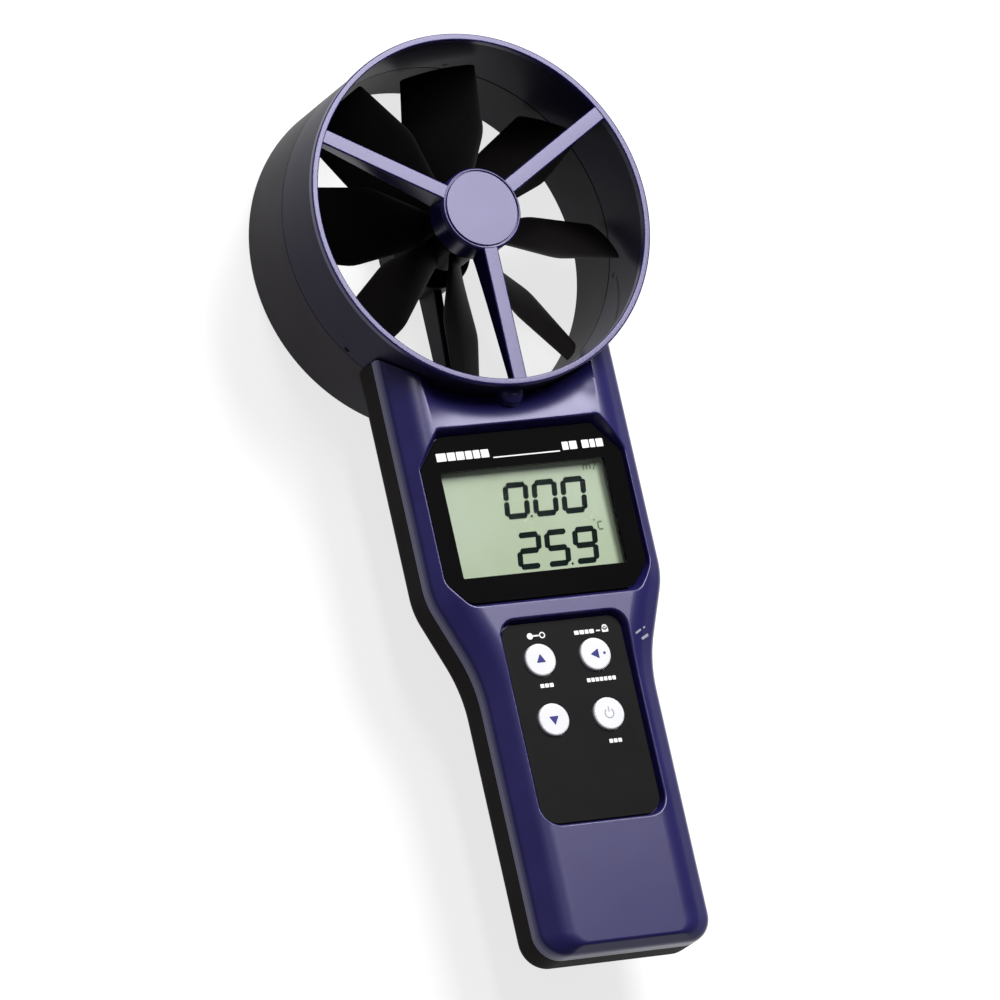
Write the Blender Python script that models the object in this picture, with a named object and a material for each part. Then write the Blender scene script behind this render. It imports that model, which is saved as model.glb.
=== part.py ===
"""Handheld vane anemometer: a Ø106 mm vane ring on a slim handle with a display and four keys.

The instrument lies on its back. +Z is the direction the display faces, +Y runs along the
handle towards the vane, +X is to the right of someone reading the display. The origin is
under the middle of the instrument, on the plane that the rear rim of the vane ring rests on.
All dimensions below are millimetres; meshes are made in metres.
"""
import math

import bmesh
import bpy

MM = 0.001
GAP = 0.3                      # clearance between neighbouring pieces

# --- vane ring -------------------------------------------------------------------------
RING_Y = 82.25                 # vane axis, measured from the origin
RIM_Z = 47.0                   # front rim of the ring above the rear rim
SEAM_Z = 24.5                  # where the front and rear ring halves meet
RIM_R = 53.0                   # outer radius of the front lip
WALL_R = 52.6                  # outer radius of the ring wall
BORE_R = 51.0                  # inner radius of the ring wall
RING_SEGMENTS = 64
STRUT_ANGLES = (30.0, 150.0, 270.0)
STRUT_WIDTH = 4.66
STRUT_TOP = 46.8
STRUT_ROOT_DEPTH = 10.0
STRUT_TIP_DEPTH = 4.6
HUB_R = 12.3
HUB_BORE_R = 10.5
HUB_SEGMENTS = 36
FRONT_CUP_TOP = 45.4           # the struts stand proud of the cup, and the cap sits on it
SNAP_HOLE_ANGLES = (-142.4, 79.3, -20.0)
SNAP_HOLE_R = 0.9
PROBE_ANGLE = -76.0            # air temperature probe, beside the lower strut
PROBE_Z = 30.9
PROBE_R = 1.2
DUCT = 53.4                    # cable duct between ring and handle, below the vane axis
DUCT_R = 4.2

# --- impeller --------------------------------------------------------------------------
BLADES = 8
BLADE_PHASE = -8.0             # degrees, angle of the first blade about the vane axis
BLADE_Z = 25.5
BLADE_THICKNESS = 1.1
BLADE_CAMBER = 0.5
# (radius, half extent round the axis, half extent along the axis)
BLADE_STATIONS = ((8.4, 3.4, 4.6), (14.0, 4.8, 5.8), (30.0, 9.2, 8.2), (49.3, 8.0, 8.5))
IMPELLER_HUB_R = 9.4
AXLE_R = 1.0

# --- handle, lengthwise distances are measured down from the vane axis -------------------
HEAD_HALF_WIDTH = 37.3
GRIP_HALF_WIDTH = 27.5
HANDLE_START = 30.0            # inside the ring, so that the ring trims the shells
SHOULDER = 110.0               # where the head starts to narrow
WAIST = 134.8                  # where the grip starts
HANDLE_END = 217.5
SHOULDER_R = 23.0
WAIST_R = 45.0
END_CORNER_R = 8.0
FACE_Z = 39.4                  # flat front face
PARTING_Z = 30.8               # where the shells meet
BACK_Z = 18.5                  # flat back face
SADDLE_R = 53.3                # the shells wrap the ring at this radius

# inset of the outline at each height: (side inset, end inset, z)
FRONT_LEVELS = (
    (0.0, 0.0, PARTING_Z), (0.0, 0.0, 33.4), (0.7, 0.3, 35.0), (1.9, 0.9, 36.1),
    (3.6, 1.7, 37.1), (7.4, 3.2, 39.15), (8.6, 4.2, FACE_Z))
FRONT_CAVITY_LEVELS = (
    (2.0, 2.0, PARTING_Z - 2.0), (2.0, 2.0, 33.2), (3.9, 3.2, 34.5), (5.6, 3.8, 35.4),
    (9.2, 5.2, 37.4))
REAR_LEVELS = (
    (4.0, 4.5, BACK_Z), (2.6, 3.0, 18.9), (1.4, 1.6, 19.8), (0.5, 0.5, 21.2),
    (0.0, 0.0, 22.7), (0.0, 0.0, PARTING_Z - GAP), (2.3, 2.3, PARTING_Z - GAP),
    (2.3, 2.3, 32.1))
REAR_CAVITY_LEVELS = (
    (4.4, 4.4, 21.1), (2.6, 2.6, 22.6), (2.3, 2.3, 29.2), (3.4, 3.4, 30.0),
    (3.4, 3.4, 33.2))

# --- display ---------------------------------------------------------------------------
DISPLAY_TOP = 61.5
DISPLAY_BOTTOM = 114.7
DISPLAY_HALF_WIDTH = 34.0
DISPLAY_TOP_CHAMFER = (8.2, 10.0)
DISPLAY_BOTTOM_CHAMFER = (7.0, 7.6)
DISPLAY_FLOOR_Z = 34.7
DISPLAY_SLOPE = 1.2 / 3.2      # how far the recess walls lean out for each unit of height
WINDOW_Z = (DISPLAY_FLOOR_Z + GAP, 36.2)
WINDOW_MARGIN = 0.85           # between the window and the recess wall beside it
LEDGE_Z = 33.5                 # underside of the ledge that carries the window
LCD_VIEW = (26.3, 73.8, 105.4)         # half width, top, bottom of the visible area
LCD_GLASS = (29.5, 70.5, 109.5)
LCD_Z = (30.4, 33.2)

# --- keypad ----------------------------------------------------------------------------
KEYPAD_TOP = 119.3
KEYPAD_BOTTOM = 180.6
KEYPAD_HALF_WIDTH = 20.3
KEYPAD_CORNER_R = 4.5
KEYPAD_FLOOR_Z = 36.1
KEYPAD_INNER_Z = 34.7
OVERLAY_Z = (KEYPAD_FLOOR_Z + GAP, 37.0)
OVERLAY_MARGIN = 1.2
KEY_X = 8.83
KEY_ROWS = (131.6, 149.3)
KEY_R = 4.8
KEY_TOP_Z = 37.9
KEY_SEGMENTS = 20
KEYS = {"button_up": (-KEY_X, KEY_ROWS[0]), "button_left": (KEY_X, KEY_ROWS[0]),
        "button_down": (-KEY_X, KEY_ROWS[1]), "button_power": (KEY_X, KEY_ROWS[1])}

# --- electronics and battery bay ---------------------------------------------------------
BOARD_Z = (27.4, 29.0)
BOARD_OUTLINE = ((32.0, 71.5), (32.0, 109.0), (22.8, 131.0), (22.8, 154.4))
CELL_R = 5.25
CELL_PITCH = 10.65
CELL_Z = 25.6
CELL_TOP = 166.7
CELL_LENGTH = 44.5
BAY_HALF_WIDTH = 21.9
BAY = (165.8, 213.8)
DOOR_HALF_WIDTH = 23.2
DOOR = (164.8, 212.8)
DOOR_Z = (BACK_Z, 19.8)

CASE_SCREWS = ((-30.5, 64.0), (30.5, 64.0), (-20.8, 159.2), (20.8, 159.2))
BOARD_SCREWS = ((-25.0, 118.0), (25.0, 118.0), (-19.0, 151.0), (19.0, 151.0))
SCREW_HOLE_R = 1.6
TONGUE_Z = (23.0, 28.7)
BOSS_END_Z = 29.0
CUT_LOW = 15.0                 # cutters that open the back start here, below the cover
CUT_HIGH = 60.0                # cutters that open the front end here, above the face

COLOURS = {
    "navy": ((0.028, 0.026, 0.105, 1.0), 0.42, 0.0),
    "black": ((0.012, 0.011, 0.011, 1.0), 0.55, 0.0),
    "white": ((0.85, 0.85, 0.85, 1.0), 0.4, 0.0),
    "window": ((0.005, 0.005, 0.006, 1.0), 0.08, 0.0),
    "lcd": ((0.42, 0.52, 0.38, 1.0), 0.2, 0.0),
    "board": ((0.03, 0.16, 0.06, 1.0), 0.5, 0.0),
    "rubber": ((0.1, 0.1, 0.1, 1.0), 0.8, 0.0),
    "steel": ((0.6, 0.6, 0.6, 1.0), 0.3, 1.0),
    "brass": ((0.7, 0.5, 0.2, 1.0), 0.3, 1.0),
    "cell": ((0.05, 0.12, 0.3, 1.0), 0.4, 0.2),
}


# --- scene helpers -----------------------------------------------------------------------
def clear_scene():
    """Start from an empty scene."""
    for obj in list(bpy.data.objects):
        bpy.data.objects.remove(obj, do_unlink=True)


def new_material(name, colour):
    """A Principled material of one of the named colours."""
    rgba, roughness, metallic = COLOURS[colour]
    material = bpy.data.materials.new(name)
    material.use_nodes = True
    shader = material.node_tree.nodes["Principled BSDF"]
    shader.inputs["Base Color"].default_value = rgba
    shader.inputs["Roughness"].default_value = roughness
    shader.inputs["Metallic"].default_value = metallic
    return material


def down(distance):
    """The Y of a point that lies a distance below the vane axis."""
    return RING_Y - distance


def solid(name, points, faces, colour=None, origin=(0.0, 0.0, 0.0)):
    """An object from millimetre points; without a colour it is a cutter and stays hidden."""
    mesh = bpy.data.meshes.new(name)
    ox, oy, oz = origin
    mesh.from_pydata([((x - ox) * MM, (y - oy) * MM, (z - oz) * MM) for x, y, z in points], [], faces)
    bm = bmesh.new()
    bm.from_mesh(mesh)
    bmesh.ops.recalc_face_normals(bm, faces=bm.faces)
    bm.to_mesh(mesh)
    bm.free()
    mesh.shade_smooth()
    mesh.set_sharp_from_angle(angle=math.radians(35.0))
    obj = bpy.data.objects.new(name, mesh)
    obj.location = (ox * MM, oy * MM, oz * MM)
    bpy.context.scene.collection.objects.link(obj)
    if colour is None:
        obj.hide_render = True
        obj.display_type = 'WIRE'
    else:
        mesh.materials.append(new_material(name, colour))
    return obj


def boolean(obj, other, operation):
    """Add an exact Boolean modifier."""
    modifier = obj.modifiers.new(other.name, 'BOOLEAN')
    modifier.object = other
    modifier.operation = operation
    modifier.solver = 'EXACT'


def cut(obj, *cutters):
    """Take the cutters away from the object."""
    for cutter in cutters:
        boolean(obj, cutter, 'DIFFERENCE')


def fuse(obj, *others):
    """Make the other bodies one with the object."""
    for other in others:
        boolean(obj, other, 'UNION')


# --- outlines ----------------------------------------------------------------------------
def rounded(corners, radii, steps):
    """A polygon whose corners are replaced with arcs of the given radii and step counts."""
    outline = []
    count = len(corners)
    for index, (corner, radius, step) in enumerate(zip(corners, radii, steps)):
        if step == 0:
            outline.append(corner)
            continue
        before = corners[index - 1]
        after = corners[(index + 1) % count]
        to_before = unit(before[0] - corner[0], before[1] - corner[1])
        to_after = unit(after[0] - corner[0], after[1] - corner[1])
        cosine = to_before[0] * to_after[0] + to_before[1] * to_after[1]
        half = math.acos(max(-1.0, min(1.0, cosine))) / 2.0
        reach = radius / math.tan(half)
        bisector = unit(to_before[0] + to_after[0], to_before[1] + to_after[1])
        centre = (corner[0] + bisector[0] * radius / math.sin(half),
                  corner[1] + bisector[1] * radius / math.sin(half))
        start = (corner[0] + to_before[0] * reach, corner[1] + to_before[1] * reach)
        end = (corner[0] + to_after[0] * reach, corner[1] + to_after[1] * reach)
        first = math.atan2(start[1] - centre[1], start[0] - centre[0])
        turn = math.atan2(end[1] - centre[1], end[0] - centre[0]) - first
        turn = (turn + math.pi) % (2.0 * math.pi) - math.pi
        for k in range(step + 1):
            angle = first + turn * k / step
            outline.append((centre[0] + radius * math.cos(angle),
                            centre[1] + radius * math.sin(angle)))
    return outline


def unit(x, y):
    """The direction of a plane vector."""
    length = math.hypot(x, y)
    return (x / length, y / length)


def handle_outline(side, end):
    """The handle's plan outline, inset at its sides and at its lower end."""
    narrowing = math.atan2(HEAD_HALF_WIDTH - GRIP_HALF_WIDTH, WAIST - SHOULDER)
    rise = side * math.tan(narrowing / 2.0)
    head = HEAD_HALF_WIDTH - side
    grip = GRIP_HALF_WIDTH - side
    shoulder_y = down(SHOULDER) + rise
    waist_y = down(WAIST) + rise
    end_y = down(HANDLE_END) + end
    right = [(head, down(HANDLE_START)), (head, shoulder_y), (grip, waist_y), (grip, end_y)]
    corners = right + [(-x, y) for x, y in reversed(right)]
    corner_r = max(END_CORNER_R - side, 2.0)
    radii = (0, SHOULDER_R - side, WAIST_R + side, corner_r)
    steps = (0, 3, 4, 6)
    return rounded(corners, radii + radii[::-1], steps + steps[::-1])


def rectangle(half_width, top, bottom, radius, steps=4):
    """A rectangle with round corners, centred on the handle."""
    corners = [(half_width, down(top)), (half_width, down(bottom)),
               (-half_width, down(bottom)), (-half_width, down(top))]
    return rounded(corners, (radius,) * 4, (steps,) * 4)


def display_outline(inset):
    """The eight-sided outline of the display recess."""
    half = DISPLAY_HALF_WIDTH - inset
    top = down(DISPLAY_TOP + inset)
    bottom = down(DISPLAY_BOTTOM - inset)
    top_x, top_y = DISPLAY_TOP_CHAMFER
    bottom_x, bottom_y = DISPLAY_BOTTOM_CHAMFER
    ease = 0.45 * inset
    right = [(half - top_x + ease, top), (half, top - top_y + ease),
             (half, bottom + bottom_y - ease), (half - bottom_x + ease, bottom)]
    corners = right + [(-x, y) for x, y in reversed(right)]
    radii = (2.0, 2.5, 5.0, 5.0)
    return rounded(corners, radii + radii[::-1], (2, 2, 3, 3, 3, 3, 2, 2))


def circle(x, y, radius, segments):
    """Points on a circle."""
    turn = 2.0 * math.pi / segments
    return [(x + radius * math.cos(k * turn), y + radius * math.sin(k * turn))
            for k in range(segments)]


# --- solids ------------------------------------------------------------------------------
def loft(name, levels, colour=None, origin=(0.0, 0.0, 0.0)):
    """A closed body through outlines of equal length: levels are (outline, z)."""
    count = len(levels[0][0])
    points = [(x, y, z) for outline, z in levels for x, y in outline]
    faces = [tuple(range(count))]
    for level in range(len(levels) - 1):
        low = level * count
        high = low + count
        for k in range(count):
            n = (k + 1) % count
            faces.append((low + k, low + n, high + n, high + k))
    faces.append(tuple(range(len(points) - count, len(points))))
    return solid(name, points, faces, colour, origin)


def prism(name, outline, z, colour=None, origin=(0.0, 0.0, 0.0)):
    """An outline raised from z[0] to z[1]."""
    return loft(name, ((outline, z[0]), (outline, z[1])), colour, origin)


def block(name, x, y, z, colour=None):
    """A box from its limits along each axis."""
    outline = [(x[0], y[0]), (x[1], y[0]), (x[1], y[1]), (x[0], y[1])]
    return prism(name, outline, z, colour)


def cylinder(name, x, y, radius, z, segments, colour=None):
    """An upright cylinder."""
    return prism(name, circle(x, y, radius, segments), z, colour)


def turned(name, profile, centre, segments, colour=None, origin=(0.0, 0.0, 0.0), along='Z'):
    """A body turned about an axis through centre; profile is (radius, position) pairs.

    A profile that starts and ends at radius 0 is closed on the axis, any other is a ring.
    """
    pointed = profile[0][0] == 0.0 and profile[-1][0] == 0.0
    rows = profile[1:-1] if pointed else profile
    points = []
    for radius, position in rows:
        for x, y in circle(0.0, 0.0, radius, segments):
            points.append((x, y, position))
    faces = []
    last = len(rows) if not pointed else len(rows) - 1
    for row in range(last):
        low = row * segments
        high = ((row + 1) % len(rows)) * segments
        for k in range(segments):
            n = (k + 1) % segments
            faces.append((low + k, low + n, high + n, high + k))
    if pointed:
        top = (len(rows) - 1) * segments
        faces.append(tuple(range(segments)))
        faces.append(tuple(range(top, top + segments)))
    cx, cy, cz = centre
    if along == 'Z':
        points = [(cx + x, cy + y, cz + z) for x, y, z in points]
    else:
        points = [(cx + x, cy + z, cz + y) for x, y, z in points]
    return solid(name, points, faces, colour, origin)


def grid_faces(start, rows, columns, per_side):
    """The faces of a closed body made of two grids of points, one above the other."""
    faces = []
    for row in range(rows - 1):
        for column in range(columns - 1):
            a = start + row * columns + column
            quad = (a, a + 1, a + columns + 1, a + columns)
            faces.append(quad)
            faces.append(tuple(index + per_side for index in quad))
    border = [start + c for c in range(columns)]
    border += [start + r * columns + columns - 1 for r in range(1, rows)]
    border += [start + (rows - 1) * columns + c for c in range(columns - 2, -1, -1)]
    border += [start + r * columns for r in range(rows - 2, 0, -1)]
    for k, a in enumerate(border):
        b = border[(k + 1) % len(border)]
        faces.append((a, b, b + per_side, a + per_side))
    return faces


def vane_frame(angle, radius, offset, z):
    """A point at a radius from the vane axis, offset sideways from that radius line."""
    a = math.radians(angle)
    return (radius * math.cos(a) - offset * math.sin(a),
            RING_Y + radius * math.sin(a) + offset * math.cos(a), z)


def radial_rod(name, angle, radius, reach, height, segments, colour=None):
    """A round rod that lies along a radius of the ring, between two distances from the axis."""
    section = circle(0.0, height, radius, segments)
    points = [vane_frame(angle, distance, offset, z) for distance in reach for offset, z in section]
    faces = [tuple(range(segments)), tuple(range(segments, 2 * segments))]
    for k in range(segments):
        n = (k + 1) % segments
        faces.append((k, n, n + segments, k + segments))
    return solid(name, points, faces, colour)


def fin(name, angle, width, profile, colour=None):
    """A flat fin in a plane through the vane axis; profile is (radius, z) pairs."""
    count = len(profile)
    points = [vane_frame(angle, r, side * width / 2.0, z)
              for side in (-1, 1) for r, z in profile]
    faces = [tuple(range(count)), tuple(range(count, 2 * count))]
    for k in range(count):
        n = (k + 1) % count
        faces.append((k, n, n + count, k + count))
    return solid(name, points, faces, colour)


# --- vane ring ---------------------------------------------------------------------------
def front_ring():
    """The navy front half of the ring, its three struts and the front hub cup."""
    profile = [
        (BORE_R, 23.1), (51.6, 23.1), (51.6, SEAM_Z + GAP / 2), (WALL_R - 0.3, SEAM_Z + GAP / 2),
        (WALL_R, SEAM_Z + 0.5), (WALL_R, 44.8), (RIM_R, 45.2), (RIM_R, 46.6),
        (RIM_R - 0.4, RIM_Z), (BORE_R + 0.3, RIM_Z), (BORE_R, RIM_Z - 0.3)]
    ring = turned("front_ring", profile, (0.0, RING_Y, 0.0), RING_SEGMENTS, "navy")
    root_z = STRUT_TOP - STRUT_ROOT_DEPTH
    cup = turned("front_hub_cup", [
        (3.3, root_z), (HUB_R - 0.5, root_z), (HUB_R, root_z + 0.5), (HUB_R, FRONT_CUP_TOP),
        (HUB_BORE_R, FRONT_CUP_TOP), (HUB_BORE_R, 38.6), (3.3, 38.6)],
        (0.0, RING_Y, 0.0), HUB_SEGMENTS)
    struts = [fin(f"front_strut_{int(angle)}", angle, STRUT_WIDTH, [
        (HUB_R - 0.8, root_z + 0.2), (HUB_R - 0.8, FRONT_CUP_TOP - 0.4),
        (HUB_R + 0.35, FRONT_CUP_TOP - 0.4),
        (HUB_R + 0.35, STRUT_TOP), (BORE_R + 0.8, STRUT_TOP),
        (BORE_R + 0.8, STRUT_TOP - STRUT_TIP_DEPTH)]) for angle in STRUT_ANGLES]
    duct = turned("cable_duct", [
        (0.0, 35.6), (DUCT_R, 35.6), (DUCT_R, 41.5), (3.6, 44.0), (2.2, 45.0), (0.0, 45.0)],
        (0.0, down(DUCT), 0.0), 20)
    fuse(ring, cup, *struts, duct)
    clear_bore = cylinder("duct_trim", 0.0, RING_Y, BORE_R + 0.01, (24.0, 46.0), RING_SEGMENTS)
    cut(clear_bore, block("duct_trim_keep", (-60.0, 60.0), (down(46.0), 140.0), (23.0, 47.0)))
    cut(clear_bore, block("duct_trim_strut", (-3.0, 3.0), (down(54.0), 140.0), (41.0, 47.0)))
    cut(ring, clear_bore)
    channel = fin("lead_channel", 270.0, 2.3, [
        (8.0, 30.0), (8.0, 42.2), (55.2, 44.4), (55.2, 41.0), (49.6, 38.0), (49.6, 30.0)])
    well = cylinder("duct_well", 0.0, down(DUCT + 1.5), 1.25, (30.0, 43.9), 12)
    probe_hole = radial_rod("probe_hole", PROBE_ANGLE, PROBE_R + 0.4, (49.0, 60.0), PROBE_Z, 12)
    cut(ring, channel, well, probe_hole)
    for number, angle in enumerate(SNAP_HOLE_ANGLES, start=1):
        cut(ring, radial_rod(f"snap_hole_{number}", angle, SNAP_HOLE_R, (BORE_R - 2.0, RIM_R + 2.0),
                             SEAM_Z + 1.9, 10))
    return ring


def rear_ring():
    """The black rear half of the ring, with its struts, hub cup and mounting tongue."""
    profile = [
        (BORE_R, 0.3), (BORE_R + 0.3, 0.0), (WALL_R - 0.4, 0.0), (WALL_R, 0.4),
        (WALL_R, SEAM_Z - 0.5), (WALL_R - 0.3, SEAM_Z - GAP / 2), (51.9, SEAM_Z - GAP / 2),
        (51.9, 22.8), (BORE_R, 22.8)]
    ring = turned("rear_ring", profile, (0.0, RING_Y, 0.0), RING_SEGMENTS, "black")
    cup = turned("rear_hub_cup", [
        (3.3, 10.0), (HUB_BORE_R, 10.0), (HUB_BORE_R, 1.6), (HUB_R, 1.6), (HUB_R, 11.3),
        (HUB_R - 0.5, 11.8), (3.3, 11.8)], (0.0, RING_Y, 0.0), HUB_SEGMENTS)
    struts = [fin(f"rear_strut_{int(angle)}", angle, STRUT_WIDTH - 0.6, [
        (HUB_R - 0.8, 2.0), (HUB_R + 0.35, 2.0), (HUB_R + 0.35, 0.2), (BORE_R + 0.8, 0.2),
        (BORE_R + 0.8, 4.8), (HUB_R - 0.8, 9.6)]) for angle in STRUT_ANGLES]
    tongue = block("tongue", (-33.5, 33.5), (down(66.5), down(36.0)), TONGUE_Z)
    cut(tongue, cylinder("tongue_trim", 0.0, RING_Y, SADDLE_R, (24.35, 40.0), RING_SEGMENTS),
        cylinder("tongue_bore", 0.0, RING_Y, WALL_R - 0.4, (0.0, 40.0), RING_SEGMENTS))
    fuse(ring, cup, *struts, tongue)
    for number, (x, distance) in enumerate(CASE_SCREWS[:2], start=1):
        cut(ring, cylinder(f"tongue_hole_{number}", x, down(distance), SCREW_HOLE_R, (20.0, 32.0), 16))
    return ring


def hub_caps():
    """The discs that close the front and rear hub cups."""
    turned("front_hub_cap", [
        (0.0, 44.2), (10.2, 44.2), (10.2, 45.7), (HUB_R, 45.7), (HUB_R, 45.9),
        (11.2, RIM_Z), (0.0, RIM_Z)], (0.0, RING_Y, 0.0), HUB_SEGMENTS, "navy")
    turned("rear_hub_cap", [
        (0.0, 0.2), (11.3, 0.2), (HUB_R, 1.1), (HUB_R, 1.3), (10.2, 1.3), (10.2, 2.8),
        (0.0, 2.8)], (0.0, RING_Y, 0.0), HUB_SEGMENTS, "black")


def impeller():
    """Eight pitched blades on a hub, one moulding on the vane axis."""
    origin = (0.0, RING_Y, BLADE_Z)
    hub = turned("impeller", [
        (1.3, 17.6), (3.2, 17.6), (3.2, 30.0), (7.9, 30.0), (7.9, 18.6), (IMPELLER_HUB_R - 0.4, 18.6),
        (IMPELLER_HUB_R, 19.0), (IMPELLER_HUB_R, 31.4), (8.2, 33.0), (3.2, 33.6), (1.3, 33.6)],
        (0.0, RING_Y, 0.0), 32, "black", origin)
    points = []
    faces = []
    chord = (-1.0, 0.0, 1.0)
    per_side = len(BLADE_STATIONS) * len(chord)
    for blade in range(BLADES):
        centre = BLADE_PHASE + 360.0 * blade / BLADES
        start = len(points)
        for side in (-0.5, 0.5):
            for radius, around, axial in BLADE_STATIONS:
                norm = math.hypot(around, axial)
                for s in chord:
                    lift = BLADE_CAMBER * (1.0 - s * s) + side * BLADE_THICKNESS
                    offset = s * around + lift * axial / norm
                    height = BLADE_Z - s * axial + lift * around / norm
                    turn = math.degrees(math.asin(offset / radius))
                    points.append(vane_frame(centre + turn, radius, 0.0, height))
        faces += grid_faces(start, len(BLADE_STATIONS), len(chord), per_side)
    blades = solid("blades", points, faces, None, origin)
    fuse(hub, blades)
    return hub


def vane_internals():
    """Axle, bearings, magnet and pickup inside the hub, and the air temperature probe."""
    axis = (0.0, RING_Y, 0.0)
    origin = (0.0, RING_Y, BLADE_Z)
    turned("vane_axle", [(0.0, 5.0), (0.7, 5.0), (AXLE_R, 5.6), (AXLE_R, 42.0), (0.0, 42.0)],
           axis, 24, "steel", origin)
    turned("magnet_disc", [(1.3, 39.3), (5.6, 39.3), (5.6, 40.7), (1.3, 40.7)], axis, 24, "steel",
           origin)
    for name, low in (("front_bearing", 36.9), ("rear_bearing", 10.1)):
        turned(name, [(1.09, low), (3.0, low), (3.0, low + 1.6), (1.09, low + 1.6)], axis, 24,
               "brass")
    turned("pickup_board", [(1.7, 41.5), (9.8, 41.5), (9.8, 42.5), (1.7, 42.5)], axis, 24, "board")
    block("hall_sensor", (2.6, 6.4), (RING_Y - 1.6, RING_Y + 1.6), (42.8, 43.8), "rubber")
    radial_rod("temperature_probe", PROBE_ANGLE, PROBE_R, (BORE_R - 0.1, 60.0), PROBE_Z, 12, "steel")


def sensor_lead():
    """The pickup's lead: down the lower strut, through the duct and on to the main board."""
    route = [(9.0, 40.4), (13.0, 40.4), (20.0, 41.0), (34.0, 42.2), (46.0, 43.0), (51.5, 43.2),
             (54.2, 42.6), (55.0, 40.8), (55.0, 36.0), (55.6, 33.0), (58.0, 31.6), (64.0, 31.0),
             (67.6, 30.3), (69.0, 28.6), (69.0, 26.6), (70.2, 25.4), (72.2, 25.2)]
    curve = bpy.data.curves.new("sensor_lead", 'CURVE')
    curve.dimensions = '3D'
    curve.bevel_depth = 0.7 * MM
    curve.bevel_resolution = 2
    curve.use_fill_caps = True
    spline = curve.splines.new('POLY')
    smooth = smooth_route(route)
    spline.points.add(len(smooth) - 1)
    for point, (distance, z) in zip(spline.points, smooth):
        point.co = (0.0, down(distance) * MM, z * MM, 1.0)
    curve.materials.append(new_material("sensor_lead", "rubber"))
    obj = bpy.data.objects.new("sensor_lead", curve)
    bpy.context.scene.collection.objects.link(obj)


def smooth_route(route):
    """Points on a Catmull-Rom curve through the route's points."""
    padded = [route[0]] + list(route) + [route[-1]]
    points = []
    for index in range(1, len(padded) - 2):
        p0, p1, p2, p3 = padded[index - 1:index + 3]
        for t in (0.0, 0.5):
            points.append(tuple(
                0.5 * (2 * b + (c - a) * t + (2 * a - 5 * b + 4 * c - d) * t * t
                       + (3 * b - a - 3 * c + d) * t ** 3)
                for a, b, c, d in zip(p0, p1, p2, p3)))
    points.append(route[-1])
    return points


# --- handle ------------------------------------------------------------------------------
def shell_body(name, levels, colour=None):
    """A loft of the handle's outline through a table of insets."""
    return loft(name, [(handle_outline(side, end), z) for side, end, z in levels], colour)


def front_shell():
    """The navy front shell with its saddle, display recess and keypad recess."""
    shell = shell_body("front_shell", FRONT_LEVELS, "navy")
    cavity = shell_body("front_cavity", FRONT_CAVITY_LEVELS)
    across = (-60.0, 60.0)
    pads = [block("display_pad", across, (down(118.2), down(20.0)), (LEDGE_Z, CUT_HIGH)),
            block("keypad_pad", across, (down(183.0), down(117.0)), (KEYPAD_INNER_Z, CUT_HIGH))]
    pads += [cylinder(f"case_boss_{n}", x, down(d), 3.0, (BOSS_END_Z, 45.0), 16)
             for n, (x, d) in enumerate(CASE_SCREWS, start=1)]
    pads += [cylinder(f"board_boss_{n}", x, down(d), 2.4, (BOARD_Z[1] + GAP, 45.0), 16)
             for n, (x, d) in enumerate(BOARD_SCREWS, start=1)]
    cut(cavity, *pads)
    cut(shell, cavity, saddle_scoop(),
        cylinder("front_saddle", 0.0, RING_Y, SADDLE_R, (20.0, CUT_HIGH), RING_SEGMENTS),
        cylinder("duct_notch", 0.0, down(DUCT), DUCT_R + 0.4, (20.0, CUT_HIGH), 20))
    rise = 4.0
    cut(shell,
        loft("display_recess", (
            (display_outline(DISPLAY_SLOPE * (FACE_Z - DISPLAY_FLOOR_Z)), DISPLAY_FLOOR_Z),
            (display_outline(-DISPLAY_SLOPE * rise), FACE_Z + rise))),
        prism("lcd_opening", rectangle(LCD_VIEW[0] + 1.0, LCD_VIEW[1] - 1.0, LCD_VIEW[2] + 1.0, 1.0,
                                       2), (30.0, 36.0)),
        loft("keypad_recess", (
            (rectangle(KEYPAD_HALF_WIDTH - 1.0, KEYPAD_TOP + 1.0, KEYPAD_BOTTOM - 1.0,
                       KEYPAD_CORNER_R - 1.0), KEYPAD_FLOOR_Z),
            (rectangle(KEYPAD_HALF_WIDTH + 1.0, KEYPAD_TOP - 1.0, KEYPAD_BOTTOM + 1.0,
                       KEYPAD_CORNER_R + 1.0), 2 * FACE_Z - KEYPAD_FLOOR_Z))))
    cut(shell, *[cylinder(f"{name}_hole", x, down(d), KEY_R + GAP, (33.0, 38.0), KEY_SEGMENTS)
                 for name, (x, d) in KEYS.items()])
    cut(shell, *[cylinder(f"case_pilot_{n}", x, down(d), 1.5, (26.0, 34.2), 12)
                 for n, (x, d) in enumerate(CASE_SCREWS, start=1)])
    cut(shell, *[cylinder(f"board_pilot_{n}", x, down(d), 1.2, (26.0, 33.6), 12)
                 for n, (x, d) in enumerate(BOARD_SCREWS, start=1)])
    return shell


def saddle_scoop():
    """The hollow between the ring and the ridge above the display, as a cutter."""
    half = 29.0
    ring_z = 35.5
    ridge_z = 38.9
    columns = 12
    rows = 4
    grid = []
    for row in range(rows + 1):
        t = row / rows
        for column in range(columns + 1):
            x = half * (2.0 * column / columns - 1.0)
            near = math.sqrt((SADDLE_R - 1.5) ** 2 - x * x)
            distance = near + (DISPLAY_TOP + 0.2 - near) * t
            widen = 1.0 + 0.05 * (1.0 - t)
            grid.append((x * widen, down(distance), ring_z + (ridge_z - ring_z) * t ** 0.8))
    lid = [(x, y, CUT_HIGH) for x, y, _ in grid]
    faces = grid_faces(0, rows + 1, columns + 1, len(grid))
    return solid("saddle_scoop", grid + lid, faces)


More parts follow.
